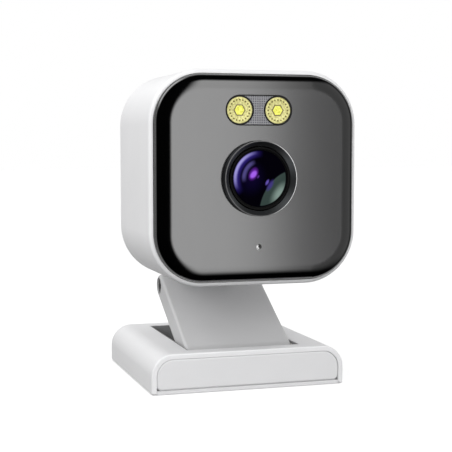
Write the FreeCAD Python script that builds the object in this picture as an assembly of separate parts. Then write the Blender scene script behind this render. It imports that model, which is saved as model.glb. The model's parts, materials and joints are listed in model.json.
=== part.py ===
import FreeCAD, Part
import math
import os

# Small indoor security camera with two floodlight LEDs above its lens, on a fold-flat stand.
# Millimetres. Z is up and the lens looks along -Y. The origin is the centre of the base's underside.
# A "depth" in the head is measured backwards from the plane in which the shell's front rim lies.

V = FreeCAD.Vector

# ---- base -------------------------------------------------------------------------------------
base_width = 59.3
base_end = 5.55               # from the well to each end of the base
base_side_radius = 6.5        # rounding along the two long top edges
base_wall = 1.5
base_skirt_gap = 0.2          # the shell and the bottom plate stay this far off the table
base_end_round = 0.5          # rounding round each end of the shell
end_cap_thick = 2.0
end_cap_groove = 0.15         # gap all round an end cap
end_cap_corner = 1.5          # rounding of a cap's lower corners
plate_lip = 1.0               # thickness of the bottom plate under an end cap
foot_pad_thick = 0.9
foot_pad_inset = 2.6
foot_pad_gap = 0.1            # round the pad in its recess
bottom_plate_thick = 1.9
base_screw_radius = 1.0
base_screw_hole = 5.0
base_boss_clear = 0.6         # from a boss to the end cap
base_screw_reach = 4.0
base_screw_head = 1.9
base_screw_head_thick = 0.6
base_boss_radius = 2.4
ballast_width = 7.6
ballast_length = 36.0
ballast_height = 5.6
ballast_clear = 0.35          # round the pin and its clips

# ---- arm and its two hinges --------------------------------------------------------------------
arm_width = 33.4
arm_thick = 7.3
arm_length = 36.8             # from one hinge line to the other
arm_lean = 29.5               # degrees above the base's top at rest
arm_edge_round = 0.6
arm_side_gap = 0.5            # from the arm to each wall of the well
arm_end_gap = 0.5             # from the folded arm's tip to the end of the well
arm_under_gap = 0.45          # from the folded arm to the floor of the well
well_front_space = 2.3        # from the arm's lower end to the front wall of the well
hinge_drop = 0.1              # the folded arm lies this far under the base's top
tray_wall = 1.2
tray_floor = 1.0
tray_foot = 0.85              # from the bottom plate up to the tray's floor
tray_foot_size = 3.5          # half the side of a foot of the tray
tray_foot_side = 13.8
tray_foot_ahead = 14.0
pin_radius = 1.5
pin_fit = 0.01                # play round pins and screws in their holes
running_clear = 0.05          # radial gap between a pin and what turns on it
base_pin_overhang = 2.4       # pin beyond each wall of the tray
clip_thick = 0.6
clip_radius = 2.15
clip_mouth_half = 0.8
washer_radius = 3.0
side_play = 0.05              # gap on each face of a washer
screw_head_radius = 2.45
screw_head_thick = 1.1
socket_reach = 0.95           # corner of the hexagon socket
screw_recess_radius = 2.7
screw_recess_depth = 1.6
nut_width = 4.4               # across the flats
nut_thick = 1.1
arm_cover_thick = 1.2
arm_cover_width = 27.0
arm_cover_start = 6.0         # along the arm from the base hinge
arm_cover_end = 29.4
arm_spine_thick = 1.5
arm_cover_screw_radius = 0.8
arm_cover_head_radius = 1.52
arm_cover_screw_inset = 3.0
arm_cover_screw_length = 2.4

# ---- head --------------------------------------------------------------------------------------
head_width = 62.4
head_height = 61.8
head_depth = 48.0
head_corner = 15.5
head_wall = 2.2
head_back_round = 11.0
head_front_round = 1.1
head_over_hinge = 5.3         # from the head hinge up to the underside of the head
panel_rim = 1.25              # the shell's visible rim round the front panel
panel_corner = 14.0
panel_proud = 3.48            # the panel's middle stands this far in front of the rim
panel_seat = 2.0              # panel below the rim
panel_flank = 3.3             # rounding from the panel's middle down to its edge
panel_wall = 2.3
panel_lip = 3.0
panel_clear = 0.1
gasket_thick = 0.6
chassis_thick = 2.0
chassis_window_width = 9.0
chassis_window_height = 26.0
chassis_window_corner = 3.0
chassis_window_side = 20.85   # from the middle of the head
rear_cover_margin = 1.9       # from the back's rounding to the rear cover
rear_cover_corner = 7.0
rear_cover_thick = 2.0
rear_cover_flange = 1.7
rear_flange_thick = 1.0
rear_cover_gap = 0.12

# ---- tilt lug ----------------------------------------------------------------------------------
lug_half_width = 6.0
lug_washer_thick = 0.7
lug_knuckle_radius = 3.5
lug_neck_half = 2.6           # half the neck's thickness
lug_angle = 136.0             # direction of the neck from the hinge, in degrees up from +Y
lug_hole_gap = 0.15
lug_foot_thick = 1.8
lug_foot_reach = 2.4          # the foot beyond the neck on each side
notch_gap = 2.0               # from the knuckle to the bottom of the arm's notch

# ---- lens and image sensor ---------------------------------------------------------------------
bezel_radius = 10.7
bezel_bore = 9.2
bezel_proud = 2.3
bezel_set_in = 2.6            # how far the bezel reaches behind the panel's face
bezel_lip = 0.3               # flat rim round the mouth of the bezel's funnel
bezel_lip_round = 0.12
bezel_funnel = 1.4            # depth of the funnel
barrel_radius = 9.05
barrel_length = 19.85
barrel_set_back = 1.3         # barrel's front behind the bezel's front
glass_recess = 0.4            # edge of the front lens behind the barrel's front
barrel_front_bore = 8.15
barrel_rear_bore = 4.4
front_lens_radius = 8.05
front_lens_edge = 1.2
front_lens_rise = 1.5
lens_count = 3
inner_lens_radius = 5.6
inner_lens_thick = 1.8
inner_lens_pitch = 3.4
inner_lens_start = 0.8        # from the front lens's seat to the first inner lens
spacer_wall = 1.18
holder_size = 24.0
holder_length = 13.4
holder_corner = 2.0
holder_chamber = 9.0          # square room in front of the image sensor
chamber_corner = 0.5
barrel_end_room = 0.5
sensor_size = 8.0
sensor_thick = 1.0
filter_size = 8.8
filter_thick = 0.5
board_thick = 1.2
sensor_board_size = 26.0
part_gap = 0.02               # hairline between pieces that lie against each other

# ---- floodlight LEDs ---------------------------------------------------------------------------
led_height = 19.3             # above the middle of the head
led_spacing = 11.4
led_window_width = 19.8
led_window_height = 8.6
led_window_thick = 1.2
led_window_sink = 0.12
led_ring_radius = 4.1
led_optic_radius = 3.75
led_optic_thick = 0.9
led_chip_radius = 1.45
led_chip_thick = 0.9
led_board_width = 24.0
led_board_height = 11.0
led_board_thick = 1.0

# ---- microphone --------------------------------------------------------------------------------
mic_drop = 19.5               # below the middle of the head
mic_hole_radius = 0.8
mic_gasket_radius = 2.0
mic_gasket_thick = 1.3
mic_thick = 1.0
mic_size = 3.4
mic_board_thick = 0.8
mic_board_size = 9.0

# ---- main board --------------------------------------------------------------------------------
main_board_margin = 5.7        # from the shell's inner wall to the board's edge
main_board_corner = 5.0
main_board_depth = 24.0
post_inset = 4.0              # from the board's edge to the middle of a post
post_radius = 2.2
board_screw_radius = 1.0
board_screw_head = 1.8
chip_size = 12.0
chip_thick = 1.2
memory_size = 8.0
thermal_pad_thick = 0.8
spreader_size = 30.0
spreader_thick = 1.0
shield_width = 20.0
shield_height = 14.0
shield_thick = 2.0
antenna_width = 18.0
antenna_length = 12.0
antenna_thick = 0.5
antenna_margin = 1.0          # from the aerial to where the shell starts to round

# ---- what the rear cover carries ---------------------------------------------------------------
io_drop = 10.0                # below the middle of the head
io_board_width = 31.0
io_board_height = 12.0
io_post_radius = 1.6
io_post_length = 8.0
usb_width = 9.0
usb_height = 3.3
usb_wall = 0.3
usb_round = 1.2
usb_tongue = 0.7
button_side = 10.5
button_radius = 2.5
button_flange = 3.1
button_flange_thick = 0.7
button_proud = 0.5
button_travel = 0.6
button_hole_gap = 0.15
switch_size = 4.5
switch_body = 2.0
switch_plunger = 1.0
speaker_rise = 8.4            # above the middle of the head
speaker_radius = 8.9
speaker_thick = 4.6
speaker_magnet = 5.6
speaker_magnet_thick = 1.8
speaker_gasket = 0.6
grille_slots = 5
grille_slot_width = 1.3
grille_pitch = 2.8
grille_reach = 6.4

# ---- places that follow from the sizes ---------------------------------------------------------
arm_radius = arm_thick / 2
plate_z = base_skirt_gap
plate_top = plate_z + bottom_plate_thick
cap_bottom = plate_z + plate_lip + end_cap_groove
well_floor = plate_top + tray_foot + tray_floor
hinge_z = well_floor + arm_under_gap + arm_radius
base_height = hinge_z + arm_radius + hinge_drop
well_half_width = arm_width / 2 + arm_side_gap
well_length = well_front_space + arm_radius + arm_length + arm_radius + arm_end_gap
well_front = -well_length / 2
well_back = well_length / 2
base_length = well_length + 2 * base_end
hinge_y = well_front + well_front_space + arm_radius
tray_half_width = well_half_width + tray_wall
lean = math.radians(arm_lean)
tilt_y = hinge_y + arm_length * math.cos(lean)
tilt_z = hinge_z + arm_length * math.sin(lean)
head_front = tilt_y - head_depth
head_middle = tilt_z + head_over_hinge + head_height / 2
panel_face = -panel_proud
seat_depth = panel_seat + gasket_thick + chassis_thick
rear_cover_size = min(head_width, head_height) - 2 * (head_back_round + rear_cover_margin)
chassis_front = panel_seat + gasket_thick
panel_back = panel_face + panel_wall
bezel_front = panel_face - bezel_proud
barrel_front = bezel_front + barrel_set_back
holder_back = seat_depth + holder_length
main_back = main_board_depth + board_thick
cover_front = head_depth - rear_cover_thick
flange_front = cover_front - rear_flange_thick
main_board_size = min(head_width, head_height) - 2 * (head_wall + main_board_margin)
post_spot = main_board_size / 2 - post_inset
io_middle = head_middle - io_drop
io_board_back = cover_front - io_post_length
speaker_middle = head_middle + speaker_rise

os.makedirs("parts", exist_ok=True)


# ---- shape helpers -----------------------------------------------------------------------------
def block(x0, x1, y0, y1, z0, z1):
    """A box between two corners."""
    return Part.makeBox(x1 - x0, y1 - y0, z1 - z0, V(x0, y0, z0))


def rod_x(radius, x0, x1, y, z):
    """A round bar along X."""
    return Part.makeCylinder(radius, x1 - x0, V(x0, y, z), V(1, 0, 0))


def rod_z(radius, x, y, z0, z1):
    """A round bar along Z."""
    return Part.makeCylinder(radius, z1 - z0, V(x, y, z0), V(0, 0, 1))


def disc(radius, start, end, x=0.0, z=None):
    """A round bar along Y in the head, between two depths."""
    centre_z = head_middle if z is None else z
    return Part.makeCylinder(radius, end - start, V(x, head_front + start, centre_z), V(0, 1, 0))


def tube(outer, bore, start, end, x=0.0, z=None):
    """A ring or tube along Y in the head, between two depths."""
    return disc(outer, start, end, x, z).cut(disc(bore, start - 1, end + 1, x, z))


def tile(width, height, corner, start, end, x=0.0, z=None):
    """A plate with rounded corners, square to Y, between two depths in the head."""
    centre_z = head_middle if z is None else z
    y0 = head_front + start
    body = block(x - width / 2, x + width / 2, y0, head_front + end,
                 centre_z - height / 2, centre_z + height / 2)
    if corner <= 0:
        return body
    rounding = min(corner, width / 2 - 0.01, height / 2 - 0.01)
    return body.makeFillet(rounding, edges_along(body, V(0, 1, 0)))


def edges_along(shape, direction):
    """The straight edges that run along a direction."""
    found = []
    for edge in shape.Edges:
        if not isinstance(edge.Curve, Part.Line):
            continue
        if abs(edge.Curve.Direction.dot(direction)) > 0.999:
            found.append(edge)
    return found


def edges_in_plane(shape, axis, value):
    """The edges that lie wholly in the plane where a coordinate has one value."""
    low = {"y": "YMin", "z": "ZMin"}[axis]
    high = {"y": "YMax", "z": "ZMax"}[axis]
    found = []
    for edge in shape.Edges:
        box = edge.BoundBox
        if abs(getattr(box, low) - value) < 1e-4 and abs(getattr(box, high) - value) < 1e-4:
            found.append(edge)
    return found


def extrude_x(points, x0, x1):
    """A prism along X whose section is a closed polygon of (y, z) points."""
    ring = [V(x0, y, z) for y, z in points]
    face = Part.Face(Part.makePolygon(ring + ring[:1]))
    return face.extrude(V(x1 - x0, 0, 0))


def on_arm(shape):
    """Lay a shape made on the level arm at the arm's lean, turning it about the base hinge."""
    turned = shape.copy()
    turned.rotate(V(0, hinge_y, hinge_z), V(1, 0, 0), arm_lean)
    return turned


def mirror_x(shape):
    """The shape's twin on the other side of the middle plane."""
    return shape.mirror(V(0, 0, 0), V(1, 0, 0))


def save(name, *solids):
    """Write one node, as one solid or as a group of separate ones."""
    shape = solids[0] if len(solids) == 1 else Part.makeCompound(list(solids))
    if len(solids) == 1 and shape.ShapeType != "Solid" and len(shape.Solids) == 1:
        shape = shape.Solids[0]
    shape.exportStep("parts/" + name + ".step")


# ---- base --------------------------------------------------------------------------------------
def base_profile(inset, z0):
    """The base's arched section, from one end to the other, moved inwards by an inset."""
    half = base_width / 2 - inset
    top = base_height - inset
    body = block(-half, half, -base_length / 2, base_length / 2, z0, top)
    long_top = [e for e in edges_along(body, V(0, 1, 0)) if e.BoundBox.ZMin > top - 1e-4]
    return body.makeFillet(base_side_radius - inset, long_top)


def trim_y(shape, y0, y1):
    """Keep what lies between two Y values."""
    reach = base_width
    return shape.common(block(-reach, reach, y0, y1, -reach, reach))


def foot_pad(grow):
    """The rubber pad, or the slightly larger recess that it is stuck in."""
    half_x = base_width / 2 - foot_pad_inset + grow
    half_y = base_length / 2 - foot_pad_inset + grow
    pad = block(-half_x, half_x, -half_y, half_y, 0, foot_pad_thick)
    return pad.makeFillet(base_side_radius / 2 + grow, edges_along(pad, V(0, 0, 1)))


def make_base():
    """The shell, its end caps, the well with its hinge pin, the plate, the weights and the foot."""
    half_len = base_length / 2
    well_cut = block(-well_half_width, well_half_width, well_front, well_back, -1, base_height + 1)
    boss_x = (tray_half_width + base_width / 2 - base_wall) / 2
    boss_spots = [(sx * boss_x,
                   sy * (half_len - end_cap_thick - base_boss_radius - base_boss_clear))
                  for sx in (-1, 1) for sy in (-1, 1)]

    outer = base_profile(0, base_skirt_gap)
    for end in (-half_len, half_len):
        arch = [e for e in edges_in_plane(outer, "y", end) if e.BoundBox.ZMax > base_skirt_gap + 1e-3]
        outer = outer.makeFillet(base_end_round, arch)
    shell = outer.cut(base_profile(base_wall, -1))
    crown = base_profile(base_wall - 0.1, base_skirt_gap)
    for x, y in boss_spots:
        boss = rod_z(base_boss_radius, x, y, plate_top, base_height).common(crown)
        shell = shell.fuse(boss.cut(rod_z(base_screw_radius, x, y, 0, plate_top + base_screw_hole)))
    save("base_shell", shell.cut(well_cut).removeSplitter())

    cap = base_profile(base_wall + end_cap_groove, cap_bottom)
    low_edges = [e for e in edges_along(cap, V(0, 1, 0)) if e.BoundBox.ZMax < cap_bottom + 1e-4]
    cap = cap.makeFillet(end_cap_corner, low_edges)
    save("base_front_cap", trim_y(cap, -half_len, -half_len + end_cap_thick))
    save("base_rear_cap", trim_y(cap, half_len - end_cap_thick, half_len))

    plate_half = base_width / 2 - base_wall - end_cap_groove
    plate = block(-plate_half, plate_half, -half_len, half_len, plate_z, plate_z + plate_lip)
    plate_end = half_len - end_cap_thick - end_cap_groove
    plate = plate.fuse(block(-plate_half, plate_half, -plate_end, plate_end, plate_z, plate_top)).removeSplitter()
    screws = []
    for x, y in boss_spots:
        head = rod_z(base_screw_head, x, y, foot_pad_thick, foot_pad_thick + base_screw_head_thick)
        screw = head.fuse(rod_z(base_screw_radius, x, y, foot_pad_thick, plate_top + base_screw_reach))
        plate = plate.cut(screw)
        screws.append(screw)
    save("base_screws", *screws)
    save("base_bottom_plate", plate.cut(foot_pad(foot_pad_gap)))
    save("base_foot_pad", foot_pad(0))

    tray_half = tray_half_width
    tray_top = base_height - base_wall
    tray = block(-tray_half, tray_half, well_front - tray_wall, well_back + tray_wall,
                 well_floor - tray_floor, tray_top)
    tray = tray.cut(block(-well_half_width, well_half_width, well_front, well_back,
                          well_floor, base_height))
    pin_hole = rod_x(pin_radius + pin_fit, -tray_half - 1, tray_half + 1, hinge_y, hinge_z)
    tray_feet = [block(sx * tray_foot_side - tray_foot_size, sx * tray_foot_side + tray_foot_size,
                       sy * tray_foot_ahead - tray_foot_size, sy * tray_foot_ahead + tray_foot_size,
                       plate_top, well_floor - tray_floor) for sx in (-1, 1) for sy in (-1, 1)]
    tray = tray.cut(pin_hole)
    for foot in tray_feet:
        tray = tray.fuse(foot)
    save("well_tray", tray.removeSplitter())

    pin_half = tray_half + base_pin_overhang
    save("base_hinge_pin", rod_x(pin_radius, -pin_half, pin_half, hinge_y, hinge_z))
    clip = rod_x(clip_radius, tray_half + side_play, tray_half + side_play + clip_thick, hinge_y, hinge_z)
    clip = clip.cut(rod_x(pin_radius, 0, pin_half + 1, hinge_y, hinge_z))
    clip = clip.cut(block(0, pin_half + 1, hinge_y - clip_mouth_half, hinge_y + clip_mouth_half,
                          hinge_z - 2 * clip_radius, hinge_z))
    save("base_pin_clips", clip, mirror_x(clip))

    washer = rod_x(washer_radius, arm_width / 2 + side_play, well_half_width - side_play, hinge_y, hinge_z)
    washer = washer.cut(rod_x(pin_radius + pin_fit, 0, tray_half, hinge_y, hinge_z))
    save("base_hinge_washers", washer, mirror_x(washer))

    bar_start = tray_half + side_play + clip_thick + ballast_clear
    bar = block(bar_start, bar_start + ballast_width, -ballast_length / 2, ballast_length / 2,
                plate_top, plate_top + ballast_height)
    room = base_profile(base_wall + part_gap, 0)
    room = room.cut(rod_x(pin_radius + ballast_clear, -base_width, base_width, hinge_y, hinge_z))
    room = room.cut(rod_x(clip_radius + ballast_clear, 0, bar_start + ballast_clear, hinge_y, hinge_z))
    bar = bar.common(room)
    save("ballast_bars", bar, mirror_x(bar))


# ---- arm ---------------------------------------------------------------------------------------
def make_arm():
    """The flat arm, its rear cover and steel spine, and the screw pivot of the head."""
    half = arm_width / 2
    tip_y = hinge_y + arm_length
    body = block(-half, half, hinge_y, tip_y, hinge_z - arm_radius, hinge_z + arm_radius)
    body = body.fuse([rod_x(arm_radius, -half, half, hinge_y, hinge_z),
                      rod_x(arm_radius, -half, half, tip_y, hinge_z)]).removeSplitter()
    side_edges = [e for e in body.Edges
                  if e.BoundBox.XMax - e.BoundBox.XMin < 1e-4]
    body = body.makeFillet(arm_edge_round, side_edges)

    under = hinge_z - arm_radius
    pocket_half = arm_cover_width / 2
    start = hinge_y + arm_cover_start
    end = hinge_y + arm_cover_end
    inner = under + arm_cover_thick + arm_spine_thick
    pocket = block(-pocket_half, pocket_half, start, end, under - 1, inner)
    notch_half = lug_half_width + lug_washer_thick + 2 * side_play
    notch_start = tip_y - lug_knuckle_radius - notch_gap
    notch = block(-notch_half, notch_half, notch_start, tip_y + arm_thick, under - 1, hinge_z + arm_thick)
    body = body.cut(pocket).cut(notch)
    body = body.cut(rod_x(pin_radius + running_clear, -half - 1, half + 1, hinge_y, hinge_z))
    body = body.cut(rod_x(pin_radius + pin_fit, -half - 1, half + 1, tip_y, hinge_z))
    for side in (-1, 1):
        mouth = sorted((side * (half + 1), side * (half - screw_recess_depth)))
        body = body.cut(rod_x(screw_recess_radius, mouth[0], mouth[1], tip_y, hinge_z))

    cover = block(-pocket_half + 0.1, pocket_half - 0.1, start + 0.1, end - 0.1,
                  under, under + arm_cover_thick - part_gap)
    spine = block(-pocket_half + 0.3, pocket_half - 0.3, start + 0.3, end - 0.3,
                  under + arm_cover_thick, inner - part_gap)
    screws = []
    for sx in (-1, 1):
        for y in (start + arm_cover_screw_inset, end - arm_cover_screw_inset):
            x = sx * (pocket_half - arm_cover_screw_inset)
            shank = rod_z(arm_cover_screw_radius, x, y, under + 0.2, inner + arm_cover_screw_length)
            shank = shank.fuse(rod_z(arm_cover_head_radius, x, y, under + 0.2, under + 0.8))
            screws.append(shank)
            hole = shank.fuse(rod_z(arm_cover_head_radius, x, y, under - 1, under + 0.8))
            cover = cover.cut(hole)
            spine = spine.cut(hole)
            body = body.cut(shank)
    save("arm_body", on_arm(body))
    save("arm_rear_cover", on_arm(cover))
    save("arm_spine", on_arm(spine))
    save("arm_cover_screws", *[on_arm(screw) for screw in screws])

    seat = half - screw_recess_depth
    pivot = rod_x(pin_radius, -seat - screw_head_thick, seat + nut_thick, tip_y, hinge_z)
    pivot = pivot.fuse(rod_x(screw_head_radius, -seat - screw_head_thick, -seat, tip_y, hinge_z))
    socket_corners = [(tip_y + socket_reach * math.cos(math.radians(60 * k)),
                       hinge_z + socket_reach * math.sin(math.radians(60 * k))) for k in range(6)]
    pivot = pivot.cut(extrude_x(socket_corners, -seat - screw_head_thick - 1, -seat - 0.3))
    save("tilt_screw", on_arm(pivot))

    nut_reach = nut_width / math.sqrt(3)
    nut_corners = [(tip_y + nut_reach * math.cos(math.radians(60 * k + 30)),
                    hinge_z + nut_reach * math.sin(math.radians(60 * k + 30))) for k in range(6)]
    nut = extrude_x(nut_corners, seat, seat + nut_thick)
    nut = nut.cut(rod_x(pin_radius, 0, seat + nut_thick + 1, tip_y, hinge_z))
    save("tilt_nut", on_arm(nut))

    washer = rod_x(washer_radius, lug_half_width + side_play, lug_half_width + lug_washer_thick + side_play,
                   tip_y, hinge_z)
    washer = washer.cut(rod_x(pin_radius + pin_fit, 0, half, tip_y, hinge_z))
    save("tilt_spring_washers", on_arm(washer), on_arm(mirror_x(washer)))


# ---- head --------------------------------------------------------------------------------------
def lug_solids():
    """The tilt lug and the larger shape that the shell's slot for it is cut with."""
    centre_y = tilt_y - head_back_round
    centre_z = head_middle - head_height / 2 + head_back_round
    inner = head_back_round - head_wall - part_gap
    reach = math.hypot(tilt_y - centre_y, tilt_z - centre_z) - inner / 2

    def neck(half_thick, half_width):
        bar = block(-half_width, half_width, tilt_y, tilt_y + reach, tilt_z - half_thick, tilt_z + half_thick)
        bar.rotate(V(0, tilt_y, tilt_z), V(1, 0, 0), lug_angle)
        return bar

    wide = lug_half_width + lug_foot_reach
    core = rod_x(inner - lug_foot_thick, -wide - 1, wide + 1, centre_y, centre_z)
    foot = rod_x(inner, -wide, wide, centre_y, centre_z).cut(core)
    foot = foot.common(neck(lug_neck_half + lug_foot_reach, wide))
    knuckle = rod_x(lug_knuckle_radius, -lug_half_width, lug_half_width, tilt_y, tilt_z)
    lug = neck(lug_neck_half, lug_half_width).cut(core).fuse([knuckle, foot]).removeSplitter()
    lug = lug.cut(rod_x(pin_radius + running_clear, -head_width, head_width, tilt_y, tilt_z))
    return lug, neck(lug_neck_half + lug_hole_gap, lug_half_width + lug_hole_gap)


def make_housing():
    """The shell, the tilt lug, the front panel with its gasket, the chassis and the rear cover."""
    lug, lug_slot = lug_solids()
    shell = tile(head_width, head_height, head_corner, 0, head_depth)
    shell = shell.makeFillet(head_back_round, edges_in_plane(shell, "y", head_front + head_depth))
    shell = shell.makeFillet(head_front_round, edges_in_plane(shell, "y", head_front))
    cavity = tile(head_width - 2 * head_wall, head_height - 2 * head_wall, head_corner - head_wall,
                  seat_depth, cover_front)
    cavity = cavity.makeFillet(head_back_round - head_wall,
                               edges_in_plane(cavity, "y", head_front + cover_front))
    panel_w = head_width - 2 * panel_rim
    panel_h = head_height - 2 * panel_rim
    pocket = tile(panel_w + 2 * panel_clear, panel_h + 2 * panel_clear, panel_corner + panel_clear,
                  -1, seat_depth)
    opening = tile(rear_cover_size, rear_cover_size, rear_cover_corner, cover_front - 1, head_depth + 1)
    shell = shell.cut(cavity).cut(pocket).cut(opening).cut(lug_slot)
    save("housing_shell", shell)
    save("tilt_lug", lug)

    panel = tile(panel_w, panel_h, panel_corner, panel_face, panel_seat)
    panel = panel.makeFillet(panel_flank, edges_in_plane(panel, "y", head_front + panel_face))
    panel = panel.cut(tile(panel_w - 2 * panel_lip, panel_h - 2 * panel_lip, panel_corner - panel_lip,
                           panel_back, panel_seat + 1))
    led_z = head_middle + led_height
    panel = panel.cut(disc(bezel_radius + panel_clear, panel_face - 1, panel_seat))
    panel = panel.cut(tile(led_window_width + 2 * part_gap, led_window_height + 2 * part_gap,
                           led_window_height / 2, panel_face - 1, panel_seat, 0, led_z))
    panel = panel.cut(disc(mic_hole_radius, panel_face - 1, panel_seat, 0, head_middle - mic_drop))
    save("front_panel", panel)

    gasket = tile(panel_w, panel_h, panel_corner, panel_seat, chassis_front)
    gasket = gasket.cut(tile(panel_w - 2 * panel_lip, panel_h - 2 * panel_lip, panel_corner - panel_lip,
                             panel_seat - 1, chassis_front + 1))
    save("panel_gasket", gasket)

    chassis = tile(panel_w, panel_h, panel_corner, chassis_front, seat_depth)
    chassis = chassis.cut(disc(barrel_radius + panel_clear, 0, seat_depth + 1))
    pad_front = panel_back + mic_gasket_thick + mic_thick + mic_board_thick
    chassis = chassis.fuse(tile(mic_board_size - 2, mic_board_size - 2, 1, pad_front, chassis_front,
                                0, head_middle - mic_drop))
    for side in (-1, 1):
        window = tile(chassis_window_width, chassis_window_height, chassis_window_corner, 0, seat_depth + 1,
                      side * chassis_window_side, head_middle)
        chassis = chassis.cut(window)
    save("chassis_plate", chassis.removeSplitter())

    cover = tile(rear_cover_size - 2 * rear_cover_gap, rear_cover_size - 2 * rear_cover_gap,
                 rear_cover_corner - rear_cover_gap, cover_front, head_depth)
    flange = rear_cover_size + 2 * rear_cover_flange
    cover = cover.fuse(tile(flange, flange, rear_cover_corner + rear_cover_flange,
                            flange_front, cover_front))
    cover = cover.cut(tile(usb_width + 0.3, usb_height + 0.3, usb_round, flange_front - 1, head_depth + 1,
                           0, io_middle))
    cover = cover.cut(disc(button_radius + button_hole_gap, flange_front - 1, head_depth + 1,
                           button_side, io_middle))
    cover = cover.cut(disc(button_flange + button_hole_gap, flange_front - 1, cover_front,
                           button_side, io_middle))
    for index in range(grille_slots):
        offset = (index - (grille_slots - 1) / 2) * grille_pitch
        reach = math.sqrt(grille_reach ** 2 - offset ** 2)
        cover = cover.cut(tile(grille_slot_width, 2 * reach, grille_slot_width / 2,
                               flange_front - 1, head_depth + 1, offset, speaker_middle))
    for side in (-1, 1):
        post = disc(io_post_radius, io_board_back, flange_front, side * (io_board_width / 2 - io_post_radius),
                    io_middle - io_board_height / 2 + io_post_radius)
        cover = cover.fuse(post)
    save("rear_cover", cover.removeSplitter())


def make_lens():
    """The bezel, barrel, glass elements, holder, filter, image sensor and its board."""
    bezel = tube(bezel_radius, bezel_bore, bezel_front, panel_face + bezel_set_in)
    bezel = bezel.cut(Part.makeCone(bezel_radius - bezel_lip, bezel_bore, bezel_funnel,
                                    V(0, head_front + bezel_front, head_middle), V(0, 1, 0)))
    rim = edges_in_plane(bezel, "y", head_front + bezel_front)
    save("lens_bezel", bezel.makeFillet(bezel_lip_round, rim))

    barrel_back = barrel_front + barrel_length
    glass_seat = barrel_front + front_lens_edge + glass_recess
    inner_start = glass_seat + inner_lens_start
    inner_end = inner_start + (lens_count - 1) * inner_lens_pitch + inner_lens_thick
    barrel = disc(barrel_radius, barrel_front, barrel_back)
    barrel = barrel.cut(disc(barrel_front_bore, barrel_front - 1, glass_seat))
    barrel = barrel.cut(disc(inner_lens_radius, glass_seat, inner_end))
    barrel = barrel.cut(disc(barrel_rear_bore, inner_end, barrel_back + 1))
    save("lens_barrel", barrel)

    glass_front = glass_seat - front_lens_edge
    ball = (front_lens_radius ** 2 + front_lens_rise ** 2) / (2 * front_lens_rise)
    dome = Part.makeSphere(ball, V(0, head_front + glass_front - front_lens_rise + ball, head_middle))
    dome = dome.common(disc(front_lens_radius, glass_front - front_lens_rise - 1, glass_front))
    save("front_lens", dome.fuse(disc(front_lens_radius, glass_front, glass_seat - part_gap)).removeSplitter())

    elements = []
    for index in range(lens_count):
        start = inner_start + index * inner_lens_pitch
        elements.append(disc(inner_lens_radius - part_gap, start, start + inner_lens_thick))
    save("inner_lenses", *elements)
    spacers = []
    for index in range(lens_count - 1):
        start = inner_start + index * inner_lens_pitch + inner_lens_thick + part_gap
        spacers.append(tube(inner_lens_radius - part_gap, inner_lens_radius - spacer_wall, start,
                            start + inner_lens_pitch - inner_lens_thick - 2 * part_gap))
    save("lens_spacers", *spacers)

    holder = tile(holder_size, holder_size, holder_corner, seat_depth, holder_back)
    holder = holder.cut(disc(barrel_radius + part_gap, seat_depth - 1, barrel_back + barrel_end_room))
    holder = holder.cut(tile(holder_chamber, holder_chamber, chamber_corner, barrel_back, holder_back + 1))
    save("lens_holder", holder)

    sensor_front = holder_back - sensor_thick
    save("infrared_filter", tile(filter_size, filter_size, 0, sensor_front - filter_thick - part_gap,
                                 sensor_front - part_gap))
    save("image_sensor", tile(sensor_size, sensor_size, 0, sensor_front, holder_back))
    save("sensor_board", tile(sensor_board_size, sensor_board_size, 2, holder_back,
                              holder_back + board_thick))


def make_floodlights():
    """The window with its two LED optics, the emitters and the board on its heat sink."""
    led_z = head_middle + led_height
    window_front = panel_face + led_window_sink
    window_back = window_front + led_window_thick
    sides = (-led_spacing / 2, led_spacing / 2)
    window = tile(led_window_width, led_window_height, led_window_height / 2 - 0.05, window_front, window_back,
                  0, led_z)
    for x in sides:
        window = window.cut(disc(led_ring_radius - 0.25, window_front - 1, window_back + 1, x, led_z))
    save("led_window", window)
    ring_front = window_front - 0.02
    save("led_rings", *[tube(led_ring_radius - 0.27, led_optic_radius - 0.15, ring_front, window_back, x, led_z)
                        for x in sides])
    optic_back = window_back - part_gap
    save("led_optics", *[disc(led_optic_radius - 0.17, optic_back - led_optic_thick, optic_back, x, led_z)
                         for x in sides])
    board_front = panel_back + part_gap
    save("led_emitters", *[disc(led_chip_radius, board_front - led_chip_thick, board_front, x, led_z)
                           for x in sides])
    board_back = board_front + led_board_thick
    save("led_board", tile(led_board_width, led_board_height, 1, board_front, board_back, 0, led_z)
         .cut(disc(bezel_radius + 0.3, board_front - 1, board_back + 1)))
    save("led_heat_sink", tile(led_board_width, led_board_height, 1, board_back, chassis_front, 0, led_z)
         .cut(disc(bezel_radius + 0.3, board_back - 1, chassis_front + 1)))


def make_microphone():
    """The microphone, its sealing ring behind the panel and its small board."""
    z = head_middle - mic_drop
    can_front = panel_back + mic_gasket_thick
    can_back = can_front + mic_thick
    save("mic_gasket", tube(mic_gasket_radius, mic_hole_radius, panel_back, can_front, 0, z))
    save("microphone", tile(mic_size, mic_size, 0.3, can_front, can_back, 0, z))
    save("mic_board", tile(mic_board_size, mic_board_size - 1, 0.8, can_back, can_back + mic_board_thick, 0, z))


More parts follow.
